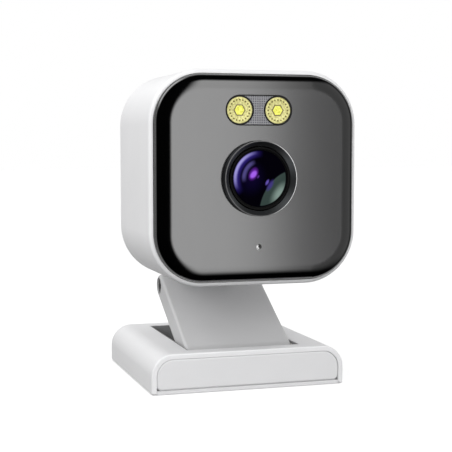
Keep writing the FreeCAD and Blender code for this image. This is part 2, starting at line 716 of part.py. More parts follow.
def make_main_board():
    """The main board on its posts, with chips, shield, heat spreader, aerial and ribbon cable."""
    spots = [(sx * post_spot, head_middle + sz * post_spot) for sx in (-1, 1) for sz in (-1, 1)]
    board = tile(main_board_size, main_board_size, main_board_corner, main_board_depth, main_back)
    screws = []
    for x, z in spots:
        board = board.cut(disc(board_screw_radius + pin_fit, main_board_depth - 1, main_back + 1, x, z))
        screw = disc(board_screw_radius, main_board_depth - 4, main_back, x, z)
        screws.append(screw.fuse(disc(board_screw_head, main_back, main_back + 1, x, z)))
    save("main_board", board)
    save("board_screws", *screws)
    save("board_posts", *[disc(post_radius, seat_depth, main_board_depth, x, z)
                          .cut(disc(board_screw_radius, main_board_depth - 4, main_board_depth + 1, x, z))
                          for x, z in spots])
    chip_back = main_back + chip_thick
    save("processor", tile(chip_size, chip_size, 0.3, main_back, chip_back, 0, head_middle + 6))
    save("memory_chips", *[tile(memory_size, memory_size + 2, 0.3, main_back, chip_back, x, head_middle - 10)
                           for x in (-6, 6)])
    pad_back = chip_back + thermal_pad_thick
    save("thermal_pad", tile(spreader_size - 8, spreader_size - 8, 1, chip_back, pad_back))
    save("heat_spreader", tile(spreader_size, spreader_size, 3, pad_back, pad_back + spreader_thick))
    save("radio_shield", tile(shield_width, shield_height, 1, main_board_depth - shield_thick,
                              main_board_depth, 0, head_middle - 14))
    roof = head_middle + head_height / 2 - head_wall
    aerial_back = head_front + cover_front - (head_back_round - head_wall) - antenna_margin
    save("wifi_antenna", block(-antenna_width / 2, antenna_width / 2, aerial_back - antenna_length, aerial_back,
                               roof - antenna_thick, roof))

    ribbon_x = sensor_board_size / 2 - 3.5
    ribbon_front = holder_back + board_thick
    save("sensor_ribbon", block(ribbon_x - 3, ribbon_x + 3, head_front + ribbon_front,
                                head_front + main_board_depth, head_middle + 7.5, head_middle + 7.8))


def make_rear_fittings():
    """The power inlet, the button with its switch, their board and the loudspeaker."""
    board_front = io_board_back - board_thick
    save("io_board", tile(io_board_width, io_board_height, 1, board_front, io_board_back, 0, io_middle))
    inlet = tile(usb_width, usb_height, usb_round, io_board_back, head_depth, 0, io_middle)
    inlet = inlet.cut(tile(usb_width - 2 * usb_wall, usb_height - 2 * usb_wall, usb_round - usb_wall,
                           io_board_back + 2, head_depth + 1, 0, io_middle))
    tongue = tile(usb_width - 2.6, usb_tongue, 0, io_board_back + 1.5, head_depth - 1, 0, io_middle)
    save("usb_inlet", inlet.fuse(tongue).removeSplitter())

    press_end = io_board_back + switch_body + switch_plunger
    switch = tile(switch_size, switch_size, 0.3, io_board_back, io_board_back + switch_body,
                  button_side, io_middle)
    switch = switch.fuse(disc(1.2, io_board_back + switch_body, press_end, button_side, io_middle))
    save("button_switch", switch)
    stem = disc(1.5, press_end + button_travel + 0.1, cover_front - 0.1, button_side, io_middle)
    cap = disc(button_radius, cover_front - 0.1, head_depth + button_proud, button_side, io_middle)
    rim = edges_in_plane(cap, "y", head_front + head_depth + button_proud)
    cap = cap.makeFillet(0.3, rim)
    flange = disc(button_flange, cover_front - button_flange_thick, cover_front - 0.03, button_side, io_middle)
    save("setup_button", stem.fuse([cap, flange]).removeSplitter())

    rear = flange_front - speaker_gasket
    front = rear - speaker_thick
    save("speaker_gasket", tube(speaker_radius, grille_reach + 0.6, rear, flange_front, 0, speaker_middle))
    driver = disc(speaker_radius, front, rear, 0, speaker_middle)
    driver = driver.fuse(disc(speaker_magnet, front - speaker_magnet_thick, front, 0, speaker_middle))
    cone = Part.makeCone(grille_reach, 2.2, 2.2, V(0, head_front + rear, speaker_middle), V(0, -1, 0))
    save("speaker", driver.cut(cone))


make_base()
make_arm()
make_housing()
make_lens()
make_floodlights()
make_microphone()
make_main_board()
make_rear_fittings()
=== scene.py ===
"""Looks of a small floodlight security camera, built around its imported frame.

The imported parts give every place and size. Each sub-assembly below is a class whose fields are sizes in
metres; it builds its visible pieces with bmesh operators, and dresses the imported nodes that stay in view.
"""
import json
import logging
import math
from dataclasses import dataclass
from enum import Enum, IntEnum
from typing import Callable, Iterable, Optional, Sequence, Union

import bmesh
import bpy
from mathutils import Matrix, Vector


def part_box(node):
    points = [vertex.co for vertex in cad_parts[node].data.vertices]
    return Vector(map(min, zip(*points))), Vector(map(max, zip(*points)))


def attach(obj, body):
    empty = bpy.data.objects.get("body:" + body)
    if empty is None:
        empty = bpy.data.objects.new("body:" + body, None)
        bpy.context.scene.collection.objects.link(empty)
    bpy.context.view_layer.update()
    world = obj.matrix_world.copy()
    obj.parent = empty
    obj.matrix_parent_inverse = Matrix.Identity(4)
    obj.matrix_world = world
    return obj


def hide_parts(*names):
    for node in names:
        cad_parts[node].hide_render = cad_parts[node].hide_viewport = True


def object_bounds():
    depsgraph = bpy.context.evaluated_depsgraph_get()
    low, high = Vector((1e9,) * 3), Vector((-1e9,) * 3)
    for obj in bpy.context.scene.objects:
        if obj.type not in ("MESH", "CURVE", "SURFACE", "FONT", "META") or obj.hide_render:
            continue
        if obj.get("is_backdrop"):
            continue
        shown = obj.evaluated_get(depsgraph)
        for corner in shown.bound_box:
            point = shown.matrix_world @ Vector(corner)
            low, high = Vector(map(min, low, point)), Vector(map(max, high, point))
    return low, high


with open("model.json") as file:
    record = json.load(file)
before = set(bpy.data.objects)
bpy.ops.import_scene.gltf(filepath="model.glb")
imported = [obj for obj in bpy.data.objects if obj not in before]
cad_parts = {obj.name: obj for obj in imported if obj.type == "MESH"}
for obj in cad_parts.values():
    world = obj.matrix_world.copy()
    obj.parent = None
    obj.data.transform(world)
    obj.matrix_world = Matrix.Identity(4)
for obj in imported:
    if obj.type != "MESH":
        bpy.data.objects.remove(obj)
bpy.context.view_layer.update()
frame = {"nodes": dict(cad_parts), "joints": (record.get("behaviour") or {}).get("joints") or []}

LOG = logging.getLogger("camera_looks")
MM = 0.001
TINY = 1e-6  # slack of a comparison, and the least gap, in metres
MERGE = 5e-6  # vertices nearer than this become one after a bevel
SHARP = math.radians(32)  # an edge that turns by more than this stays crisp
X_AXIS = Vector((1, 0, 0))
Y_AXIS = Vector((0, 1, 0))
Z_AXIS = Vector((0, 0, 1))

BMesh = bmesh.types.BMesh
Colour = tuple[float, float, float]
Band = tuple[float, float]


class Body(str, Enum):
    """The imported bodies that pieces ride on."""

    BASE = "base"
    ARM = "arm"
    HEAD = "head"
    BUTTON = "button"


class Axis(IntEnum):
    """The axes, by their place in a vector."""

    X = 0
    Y = 1
    Z = 2


class Carving(str, Enum):
    """The two ways in which solids are combined."""

    CUT = "DIFFERENCE"
    FUSE = "UNION"


# ---------------------------------------------------------------- shader graphs


class Value:
    """A socket of a material's graph, with arithmetic that adds Math nodes."""

    def __init__(self, graph: "Graph", socket: bpy.types.NodeSocket) -> None:
        """Keep the graph and the socket."""
        self.graph = graph
        self.socket = socket

    def _math(self, operation: str, first: "Term", second: Optional["Term"] = None) -> "Value":
        """Add one Math node.

        Args:
            operation: The Math node's operation.
            first: First operand.
            second: Second operand, if the operation has one.

        Returns:
            The node's result.
        """
        terms = {0: first} if second is None else {0: first, 1: second}
        return self.graph.value("ShaderNodeMath", {"operation": operation}, terms)

    def __add__(self, other: "Term") -> "Value":
        """Sum."""
        return self._math("ADD", self, other)

    def __radd__(self, other: "Term") -> "Value":
        """Sum, reflected."""
        return self._math("ADD", other, self)

    def __sub__(self, other: "Term") -> "Value":
        """Difference."""
        return self._math("SUBTRACT", self, other)

    def __rsub__(self, other: "Term") -> "Value":
        """Difference, reflected."""
        return self._math("SUBTRACT", other, self)

    def __mul__(self, other: "Term") -> "Value":
        """Product."""
        return self._math("MULTIPLY", self, other)

    def __rmul__(self, other: "Term") -> "Value":
        """Product, reflected."""
        return self._math("MULTIPLY", other, self)

    def __truediv__(self, other: "Term") -> "Value":
        """Quotient."""
        return self._math("DIVIDE", self, other)

    def __rtruediv__(self, other: "Term") -> "Value":
        """Quotient, reflected."""
        return self._math("DIVIDE", other, self)

    def __pow__(self, other: "Term") -> "Value":
        """Power."""
        return self._math("POWER", self, other)

    def __rpow__(self, other: "Term") -> "Value":
        """Power, reflected."""
        return self._math("POWER", other, self)

    def absolute(self) -> "Value":
        """Size without sign."""
        return self._math("ABSOLUTE", self)

    def root(self) -> "Value":
        """Square root."""
        return self._math("SQRT", self)

    def sine(self) -> "Value":
        """Sine."""
        return self._math("SINE", self)

    def at_least(self, other: "Term") -> "Value":
        """The larger of the two."""
        return self._math("MAXIMUM", self, other)

    def at_most(self, other: "Term") -> "Value":
        """The smaller of the two."""
        return self._math("MINIMUM", self, other)

    def step(self, low: float, high: float) -> "Value":
        """Rise smoothly from 0 at low to 1 at high, or fall if high is below low.

        Args:
            low: Value where the result is 0.
            high: Value where the result is 1.

        Returns:
            A value from 0 to 1.
        """
        ends = (low, high, 0.0, 1.0) if low < high else (high, low, 1.0, 0.0)
        inputs = {"Value": self, "From Min": ends[0], "From Max": ends[1], "To Min": ends[2], "To Max": ends[3]}
        return self.graph.value("ShaderNodeMapRange", {"interpolation_type": "SMOOTHSTEP"}, inputs)


Term = Union[Value, float]


class Graph:
    """Builds one material's nodes."""

    def __init__(self, name: str) -> None:
        """Start a material with a Principled shader.

        Args:
            name: The material's name.
        """
        self.material = bpy.data.materials.new(name)
        self.material.use_nodes = True
        self.tree = self.material.node_tree
        self.shader = self.tree.nodes["Principled BSDF"]

    @classmethod
    def of_tree(cls, tree: bpy.types.NodeTree) -> "Graph":
        """Wrap a tree that already exists, such as the world's.

        Args:
            tree: The tree.

        Returns:
            Its graph, which has no shader of its own.
        """
        graph = cls.__new__(cls)
        graph.tree = tree
        return graph

    def node(self, kind: str, settings: Optional[dict] = None, inputs: Optional[dict] = None) -> bpy.types.Node:
        """Add a node.

        Args:
            kind: Node type.
            settings: Properties, such as a Math node's operation, set before the inputs.
            inputs: Values or links by socket name or number.

        Returns:
            The new node.
        """
        node = self.tree.nodes.new(kind)
        for key, setting in (settings or {}).items():
            setattr(node, key, setting)
        for key, term in (inputs or {}).items():
            self.feed(node.inputs[key], term)
        return node

    def value(self, kind: str, settings: Optional[dict] = None, inputs: Optional[dict] = None,
              output: Union[int, str] = 0) -> Value:
        """Add a node and wrap one of its outputs."""
        return Value(self, self.node(kind, settings, inputs).outputs[output])

    def feed(self, socket: bpy.types.NodeSocket, term: Union[Value, float, Sequence[float]]) -> None:
        """Link a value to a socket, or set the socket to a constant.

        Args:
            socket: The socket.
            term: A value, a number, a vector or a colour.
        """
        if isinstance(term, Value):
            self.tree.links.new(term.socket, socket)
        elif socket.type == "RGBA" and len(term) == 3:
            socket.default_value = (*term, 1.0)
        else:
            socket.default_value = term

    def set(self, **inputs: Union[Value, float, Sequence[float]]) -> None:
        """Feed the Principled shader's sockets.

        Args:
            inputs: Values or constants by socket name, with underscores for spaces.
        """
        for key, term in inputs.items():
            self.feed(self.shader.inputs[key.replace("_", " ")], term)

    def place(self, centre: Sequence[float] = (0, 0, 0)) -> Value:
        """Object coordinates, measured from a centre."""
        coords = self.value("ShaderNodeTexCoord", output="Object")
        return self.value("ShaderNodeVectorMath", {"operation": "SUBTRACT"}, {0: coords, 1: tuple(centre)})

    def axes(self, vector: Value) -> tuple[Value, Value, Value]:
        """Split a vector into its three values."""
        node = self.node("ShaderNodeSeparateXYZ", inputs={0: vector})
        return tuple(Value(self, output) for output in node.outputs)

    def stretch(self, vector: Value, factors: Sequence[float]) -> Value:
        """Multiply a vector by three factors."""
        return self.value("ShaderNodeVectorMath", {"operation": "MULTIPLY"}, {0: vector, 1: tuple(factors)})

    def noise(self, pitch: float, detail: float = 2.0, vector: Optional[Value] = None,
              rough: float = 0.5) -> Value:
        """Noise with a grain of a given size.

        Args:
            pitch: Size of a grain in metres.
            detail: Octaves.
            vector: Where to read it, by default the object coordinates.
            rough: Share of the finer octaves.

        Returns:
            A value from 0 to 1.
        """
        inputs = {"Vector": vector or self.place(), "Scale": 1.0 / pitch, "Detail": detail, "Roughness": rough}
        return self.value("ShaderNodeTexNoise", inputs=inputs)

    def mix(self, share: Term, first: Union[Value, Colour], second: Union[Value, Colour]) -> Value:
        """Blend two colours.

        Args:
            share: The second colour's share.
            first: First colour.
            second: Second colour.

        Returns:
            The blend.
        """
        node = self.node("ShaderNodeMix", {"data_type": "RGBA"})
        for socket, term in ((node.inputs[0], share), (node.inputs[6], first), (node.inputs[7], second)):
            self.feed(socket, term)
        return Value(self, node.outputs[2])

    def bump(self, height: Value, depth: float, strength: float = 1.0, below: Optional[Value] = None) -> Value:
        """Turn a height from 0 to 1 into a surface normal.

        Args:
            height: The relief.
            depth: Its full height in metres.
            strength: How much of it shows.
            below: A normal that it is added to.

        Returns:
            The normal.
        """
        inputs = {"Height": height, "Distance": depth, "Strength": strength}
        if below is not None:
            inputs["Normal"] = below
        return self.value("ShaderNodeBump", inputs=inputs)


# ---------------------------------------------------------------- finishes


@dataclass(frozen=True)
class Finish:
    """What every finish has: a name, a main colour and a roughness."""

    name: str
    colour: Colour
    roughness: float = 0.45

    def paint(self, graph: Graph) -> None:
        """Fill the graph; each kind of finish has its own."""
        raise NotImplementedError

    def material(self) -> bpy.types.Material:
        """Make the finish's material, or find it if it is made already.

        Returns:
            The material.
        """
        made = bpy.data.materials.get(self.name)
        if made is None:
            graph = Graph(self.name)
            self.paint(graph)
            made = graph.material
        return made

    def shade(self, factor: float) -> Colour:
        """The main colour, lighter or darker."""
        return tuple(min(1.0, part * factor) for part in self.colour)


@dataclass(frozen=True)
class Moulded(Finish):
    """Moulded plastic with a fine spark-eroded grain, faint flow clouds and rubbed patches."""

    grain: float = 0.16 * MM
    relief: float = 0.012 * MM
    cloud: float = 0.03
    cloud_size: float = 14 * MM
    patch_size: float = 6 * MM
    speck_size: float = 0.5 * MM
    specular: float = 0.45

    def paint(self, graph: Graph) -> None:
        """Lay clouds in the colour, patches in the roughness and grain in the normal.

        Args:
            graph: The graph of the material.
        """
        clouds = graph.noise(self.cloud_size, 3.0)
        speck = graph.noise(self.speck_size, 1.0)
        tone = graph.mix(clouds, self.shade(1 - self.cloud), self.shade(1 + self.cloud))
        tone = graph.mix(speck.step(0.62, 0.8) * 0.25, tone, self.shade(1 - 3 * self.cloud))
        rubbed = graph.noise(self.patch_size, 2.0)
        grain = graph.noise(self.grain, 2.0, rough=0.6)
        pores = graph.noise(self.grain * 4, 1.0)
        graph.set(Base_Color=tone, Roughness=rubbed * 0.12 + (self.roughness - 0.06),
                  Normal=graph.bump(grain * 0.7 + pores * 0.3, self.relief), Specular_IOR_Level=self.specular)


@dataclass(frozen=True)
class SmokedPanel(Finish):
    """Gloss window: smoked grey field inside a printed black border with rounded corners."""

    field_colour: Colour = (0.016, 0.016, 0.017)
    half_width: float = 25.6 * MM
    half_height: float = 25.3 * MM
    corner: float = 9.6 * MM
    fade: float = 0.5 * MM
    centre: Colour = (0.0, 0.0, 0.0)
    field_rough: float = 0.13
    dot_size: float = 0.09 * MM
    wipe_size: float = 5 * MM
    wipe_along: Colour = (1.0, 1.0, 0.25)

    def paint(self, graph: Graph) -> None:
        """Print the border with a rounded-box distance, and add faint wipe marks.

        Args:
            graph: The graph of the material.
        """
        x, _, z = graph.axes(graph.place(self.centre))
        over_x = (x.absolute() - (self.half_width - self.corner)).at_least(0.0)
        over_z = (z.absolute() - (self.half_height - self.corner)).at_least(0.0)
        distance = (over_x * over_x + over_z * over_z).root() - self.corner
        inside = distance.step(self.fade, -self.fade)
        dots = graph.noise(self.dot_size, 0.0)
        grey = graph.mix(dots * 0.5, self.field_colour, tuple(1.12 * part for part in self.field_colour))
        wipes = graph.noise(self.wipe_size, 3.0, graph.stretch(graph.place(), self.wipe_along))
        rough = inside * (self.field_rough - self.roughness) + self.roughness + wipes * 0.04
        graph.set(Base_Color=graph.mix(inside, self.colour, grey), Roughness=rough,
                  Coat_Weight=inside * 0.2 + 0.8, Normal=graph.bump(wipes, 0.002 * MM, 0.3),
                  Coat_Roughness=0.1, Specular_IOR_Level=0.5)


@dataclass(frozen=True)
class Turned(Finish):
    """Turned or drawn metal, with fine rings about an axis."""

    axis: Axis = Axis.X
    centre: Colour = (0.0, 0.0, 0.0)
    metallic: float = 1.0
    ring: float = 0.12 * MM
    stain_size: float = 2 * MM

    def paint(self, graph: Graph) -> None:
        """Cut fine rings by distance from the axis and add a stain or two.

        Args:
            graph: The graph of the material.
        """
        parts = list(graph.axes(graph.place(self.centre)))
        along = parts.pop(self.axis)
        radius = (parts[0] * parts[0] + parts[1] * parts[1]).root()
        rings = graph.value("ShaderNodeTexNoise", {"noise_dimensions": "2D"},
                            {"Vector": graph.value("ShaderNodeCombineXYZ", inputs={0: radius, 1: along}),
                             "Scale": 1.0 / self.ring, "Detail": 2.0})
        stains = graph.noise(self.stain_size, 3.0)
        graph.set(Base_Color=graph.mix(stains, self.shade(0.86), self.shade(1.08)), Metallic=self.metallic,
                  Roughness=rings * 0.16 + stains * 0.08 + (self.roughness - 0.12),
                  Normal=graph.bump(rings, 0.004 * MM, 0.6))


@dataclass(frozen=True)
class Brushed(Finish):
    """Sheet or milled metal with straight brush lines."""

    along: tuple[float, float, float] = (0.03, 1.0, 1.0)
    metallic: float = 1.0
    line_size: float = 0.12 * MM
    stain_size: float = 4 * MM

    def paint(self, graph: Graph) -> None:
        """Stretch a noise along the brushing.

        Args:
            graph: The graph of the material.
        """
        lines = graph.noise(self.line_size, 3.0, graph.stretch(graph.place(), self.along))
        stains = graph.noise(self.stain_size, 2.0)
        graph.set(Base_Color=graph.mix(stains, self.shade(0.9), self.shade(1.06)), Metallic=self.metallic,
                  Roughness=lines * 0.2 + (self.roughness - 0.1), Normal=graph.bump(lines, 0.005 * MM, 0.5))


@dataclass(frozen=True)
class Rubber(Finish):
    """Soft matt rubber with dust in its grain."""

    dust_size: float = 0.7 * MM
    grain: float = 0.2 * MM

    def paint(self, graph: Graph) -> None:
        """Mottle the colour and roughen the surface.

        Args:
            graph: The graph of the material.
        """
        dust = graph.noise(self.dust_size, 4.0, rough=0.7)
        grain = graph.noise(self.grain, 2.0)
        graph.set(Base_Color=graph.mix(dust.step(0.5, 0.85), self.colour, self.shade(1.7)),
                  Roughness=grain * 0.15 + (self.roughness - 0.05), Normal=graph.bump(grain, 0.02 * MM))


@dataclass(frozen=True)
class WellGrain(Finish):
    """Coarse matt plastic with a fine checked texture, for the well of the base."""

    pitch: float = 0.42 * MM
    speck_size: float = 0.25 * MM

    def paint(self, graph: Graph) -> None:
        """Raise small squares over a speckled grey.

        Args:
            graph: The graph of the material.
        """
        x, y, z = graph.axes(graph.place())
        turns = 2 * math.pi / self.pitch
        weave = ((x * turns).sine() * ((y + z) * turns).sine()) * 0.5 + 0.5
        speck = graph.noise(self.speck_size, 2.0, rough=0.7)
        graph.set(Base_Color=graph.mix(speck * 0.6 + weave * 0.4, self.shade(0.55), self.shade(1.5)),
                  Roughness=speck * 0.2 + (self.roughness - 0.1),
                  Normal=graph.bump(weave * 0.6 + speck * 0.4, 0.06 * MM))


@dataclass(frozen=True)
class CircuitBoard(Finish):
    """Solder resist over tracks, with tinned pads."""

    track: float = 1.1 * MM
    pad_colour: Colour = (0.75, 0.72, 0.6)

    def paint(self, graph: Graph) -> None:
        """Draw tracks with a brick pattern and pads with cells.

        Args:
            graph: The graph of the material.
        """
        turned = graph.value("ShaderNodeMapping", inputs={"Vector": graph.place(), "Rotation": (math.pi / 2, 0, 0)})
        tracks = graph.value("ShaderNodeTexBrick", {"offset": 0.37},
                             {"Vector": turned, "Scale": 0.5 / self.track, "Mortar Size": 0.012,
                              "Color1": (1, 1, 1), "Color2": (1, 1, 1), "Mortar": (0, 0, 0)}, output="Fac")
        cells = graph.value("ShaderNodeTexVoronoi", inputs={"Vector": graph.place(), "Scale": 0.4 / self.track},
                            output="Distance")
        pads = cells.step(0.16, 0.12)
        resist = graph.mix(tracks, self.colour, self.shade(1.5))
        graph.set(Base_Color=graph.mix(pads, resist, self.pad_colour), Metallic=pads * 0.9,
                  Roughness=self.roughness - pads * 0.1, Normal=graph.bump(tracks * 0.5 + pads * 0.5, 0.03 * MM))


@dataclass(frozen=True)
class PaintedReflectionOval:
    """A soft oval of painted reflection on a lens; its place and sizes are shares of the glass's radius."""

    reflection_tint: Colour
    across: float
    up: float
    long: float
    short: float
    degrees: float
    core: float
    share: float = 1.0

    def mask(self, x: Value, z: Value) -> Value:
        """How much of the oval shows at a place.

        Args:
            x: Place across the glass.
            z: Place up the glass.

        Returns:
            A value from 0 to the oval's share.
        """
        cos, sin = math.cos(math.radians(self.degrees)), math.sin(math.radians(self.degrees))
        along = ((x - self.across) * cos + (z - self.up) * sin) / self.long
        aside = ((z - self.up) * cos - (x - self.across) * sin) / self.short
        return (along * along + aside * aside).root().step(1.0, self.core) * self.share


@dataclass(frozen=True)
class PaintedReflectionArc:
    """A band of painted reflection along the left of a lens; its radii are shares of the glass's."""

    reflection_tint: Colour
    inner: Band
    outer: Band
    side: Band

    def mask(self, radius: Value, leftward: Value) -> Value:
        """How much of the band shows at a place."""
        return radius.step(*self.inner) * radius.step(*self.outer) * leftward.step(*self.side)


@dataclass(frozen=True)
class PaintedReflectionLens(Finish):
    """Dark glass with painted reflections and painted glow: violet at the rim, a magenta and a blue ghost, and a pale
    curved sky reflection.
    """

    centre: Colour = (0.0, 0.0, 0.0)
    radius: float = 7.8 * MM
    dust_size: float = 0.3 * MM
    left: Band = (-0.87, 0.50)
    glow: float = 0.75
    # The ovals and bands below are painted reflections on the glass.
    reflection_haze: PaintedReflectionOval = PaintedReflectionOval((0.003, 0.0014, 0.016), -0.35, 0.0, 0.75, 0.6, 80, 0.0, 0.7)
    reflection_arcs: tuple[PaintedReflectionArc, ...] = (
        PaintedReflectionArc((0.022, 0.013, 0.14), (0.70, 0.92), (1.0, 0.95), (0.35, 0.95)),
        PaintedReflectionArc((0.22, 0.20, 0.44), (0.84, 0.93), (1.0, 0.95), (0.55, 1.05)),
        PaintedReflectionArc((0.046, 0.038, 0.13), (0.52, 0.64), (0.74, 0.66), (0.72, 0.97)))
    sky_reflection: PaintedReflectionOval = PaintedReflectionOval((0.024, 0.038, 0.034), 0.96, -0.74, 1.12, 0.86, 50, 0.95)
    sky_reflection_rim: Band = (0.985, 0.95)
    shine: PaintedReflectionOval = PaintedReflectionOval((0.150, 0.205, 0.182), 0.74, -0.56, 0.62, 0.36, 55, 0.1)
    reflection_ghosts: tuple[PaintedReflectionOval, ...] = (
        PaintedReflectionOval((0.075, 0.012, 0.20), -0.30, 0.17, 0.30, 0.19, 62, 0.3),
        PaintedReflectionOval((0.22, 0.07, 0.50), -0.30, 0.15, 0.20, 0.12, 50, 0.4),
        PaintedReflectionOval((0.06, 0.02, 0.16), -0.13, 0.07, 0.09, 0.05, 60, 0.2, 0.8),
        PaintedReflectionOval((0.075, 0.05, 0.25), 0.21, -0.13, 0.15, 0.07, 60, 0.3),
        PaintedReflectionOval((0.035, 0.022, 0.15), 0.33, -0.24, 0.30, 0.13, 58, 0.2, 0.8))

    def paint(self, graph: Graph) -> None:
        """Lay the painted reflections over black by place on the glass.

        Args:
            graph: The graph of the material.
        """
        x, _, z = graph.axes(graph.stretch(graph.place(self.centre), (1 / self.radius,) * 3))
        radius = (x * x + z * z).root()
        leftward = (x * self.left[0] + z * self.left[1]) / radius.at_least(0.05)
        reflection_tint = graph.mix(self.reflection_haze.mask(x, z), self.colour, self.reflection_haze.reflection_tint)
        for arc in self.reflection_arcs:
            reflection_tint = graph.mix(arc.mask(radius, leftward), reflection_tint, arc.reflection_tint)
        sky = graph.mix(self.shine.mask(x, z), self.sky_reflection.reflection_tint, self.shine.reflection_tint)
        reflection_tint = graph.mix(self.sky_reflection.mask(x, z) * radius.step(*self.sky_reflection_rim), reflection_tint, sky)
        for ghost in self.reflection_ghosts:
            reflection_tint = graph.mix(ghost.mask(x, z), reflection_tint, ghost.reflection_tint)
        dust = graph.noise(self.dust_size, 2.0)
        # The painted reflections go into both the base colour and the emission, so the glass shows them as painted
        # glow.
        graph.set(Base_Color=reflection_tint, Emission_Color=reflection_tint, Roughness=dust * 0.03 + self.roughness,
                  Normal=graph.bump(dust, 0.001 * MM, 0.2), Emission_Strength=self.glow, Coat_Weight=0.0,
                  Specular_IOR_Level=0.0)


@dataclass(frozen=True)
class PaintedSheenFace(Finish):
    """Dark turned metal with a painted sheen that fans out to the left, the upper right and the lower right."""

    centre: Colour = (0.0, 0.0, 0.0)
    sheen_fans: tuple[tuple[float, float], ...] = ((30.0, 1.0), (138.0, 0.5), (214.0, 0.7), (318.0, 0.65))
    narrow: float = 16.0
    sheen_gain: float = 4.4
    ring: float = 0.16 * MM

    def paint(self, graph: Graph) -> None:
        """Paint the sheen by bearing and raise the turned rings.

        Args:
            graph: The graph of the material.
        """
        x, _, z = graph.axes(graph.place(self.centre))
        radius = (x * x + z * z).root()
        reach = radius.at_least(self.ring)
        # Painted sheen: the base colour is lightened in fans by bearing about the lens.
        light: Term = 0.0
        for degrees, share in self.sheen_fans:
            angle = math.radians(degrees)
            facing = (x * math.cos(angle) + z * math.sin(angle)) / reach
            light = facing.at_least(0.0) ** self.narrow * share + light
        rings = (radius * (2 * math.pi / self.ring)).sine()
        graph.set(Base_Color=graph.mix(light, self.colour, self.shade(self.sheen_gain)),
                  Roughness=rings * 0.03 + self.roughness, Normal=graph.bump(rings, 0.004 * MM, 0.5),
                  Specular_IOR_Level=0.2)


@dataclass(frozen=True)
class PaintedHighlightEdge(Finish):
    """Polished rim with a painted highlight on its right and a faint painted glint elsewhere, in its colour and its
    glow.
    """

    centre: Colour = (0.0, 0.0, 0.0)
    faint: float = 0.12
    bright: float = 0.75
    lit: Band = (0.15, 0.85)
    glint_and_wear_size: float = 0.6 * MM
    glow: float = 0.8

    def paint(self, graph: Graph) -> None:
        """Paint the highlight on the rim by its bearing about the lens.

        Args:
            graph: The graph of the material.
        """
        x, _, z = graph.axes(graph.place(self.centre))
        radius = (x * x + z * z).root().at_least(MM)
        # Painted highlight: strongest on the right of the rim, faint elsewhere; the noise adds wear to the roughness
        # and varies the painted glint.
        highlight_share = (x / radius).step(*self.lit) * (self.bright - self.faint) + self.faint
        glint_and_wear = graph.noise(self.glint_and_wear_size, 2.0)
        black = self.shade(0.0)
        graph.set(Base_Color=graph.mix(highlight_share, black, self.colour),
                  Emission_Color=graph.mix(highlight_share * (glint_and_wear * 0.3 + 0.85), black, self.colour),
                  Metallic=0.3, Roughness=glint_and_wear * 0.1 + self.roughness, Emission_Strength=self.glow)


@dataclass(frozen=True)
class Glow(Finish):
    """Yellow phosphor or its clear optic, that glows a little."""

    pale: Colour = (1.0, 0.97, 0.62)
    glow: float = 0.35
    grain: float = 0.5 * MM

    def paint(self, graph: Graph) -> None:
        """Speckle the two yellows and let them glow.

        Args:
            graph: The graph of the material.
        """
        speck = graph.noise(self.grain, 3.0, rough=0.7)
        tone = graph.mix(speck.step(0.3, 0.7), self.colour, self.pale)
        graph.set(Base_Color=tone, Emission_Color=tone, Roughness=speck * 0.15 + self.roughness,
                  Normal=graph.bump(speck, 0.03 * MM, 0.6), Emission_Strength=self.glow, Specular_IOR_Level=0.2)


@dataclass(frozen=True)
class MeshInsert(Finish):
    """Fine metal-toned mesh under a clear face, between the two lights."""

    pitch: float = 0.44 * MM
    hole_shade: Colour = (0.05, 0.05, 0.07)
    shade_size: float = 1.5 * MM

    def paint(self, graph: Graph) -> None:
        """Open square holes at the pitch of the mesh, painted dark as the shade behind it.

        Args:
            graph: The graph of the material.
        """
        x, _, z = graph.axes(graph.place())
        turns = math.pi / self.pitch
        bars = ((x * turns).sine().absolute()).at_most((z * turns).sine().absolute())
        holes = bars.step(0.30, 0.62)
        shade = graph.noise(self.shade_size, 2.0)
        wire = graph.mix(shade, self.shade(0.8), self.shade(1.2))
        # The holes take a dark colour: painted shade seen through the mesh.
        graph.set(Base_Color=graph.mix(holes * 0.85, wire, self.hole_shade), Roughness=self.roughness + shade * 0.1,
                  Normal=graph.bump(1.0 - holes, 0.06 * MM, 0.7), Coat_Weight=0.4)


@dataclass(frozen=True)
class Resin(Finish):
    """Moulded chip resin or paper cone, dull and faintly pitted."""

    pit_size: float = 0.12 * MM

    def paint(self, graph: Graph) -> None:
        """Pit the surface and vary its tone.

        Args:
            graph: The graph of the material.
        """
        pits = graph.noise(self.pit_size, 3.0, rough=0.7)
        graph.set(Base_Color=graph.mix(pits, self.shade(0.7), self.shade(1.4)),
                  Roughness=pits * 0.2 + (self.roughness - 0.1), Normal=graph.bump(pits, 0.02 * MM, 0.7))


WHITE_SHELL = Moulded("white_shell_finish", (0.86, 0.86, 0.87), 0.36)
WHITE_CAP = Moulded("white_cap_finish", (0.80, 0.80, 0.81), 0.46, relief=0.018 * MM)
ARM_GREY = Moulded("arm_grey_finish", (0.56, 0.56, 0.565), 0.42, relief=0.02 * MM, cloud=0.035)
LUG_GREY = Moulded("lug_grey_finish", (0.46, 0.46, 0.47), 0.48)
NYLON = Moulded("nylon_finish", (0.70, 0.69, 0.64), 0.4)
BLACK_PLASTIC = Moulded("black_plastic_finish", (0.006, 0.006, 0.0065), 0.34, cloud=0.2, specular=0.2)
BARREL_BLACK = Moulded("barrel_black_finish", (0.0025, 0.0025, 0.0027), 0.5, cloud=0.2, specular=0.08)
CHASSIS_DARK = Moulded("chassis_dark_finish", (0.10, 0.10, 0.105), 0.5)
WELL_GREY = WellGrain("well_grey_finish", (0.26, 0.26, 0.264), 0.6)
FOOT_RUBBER = Rubber("foot_rubber_finish", (0.035, 0.035, 0.037), 0.8)
SEAL_RUBBER = Rubber("seal_rubber_finish", (0.015, 0.015, 0.015), 0.7)
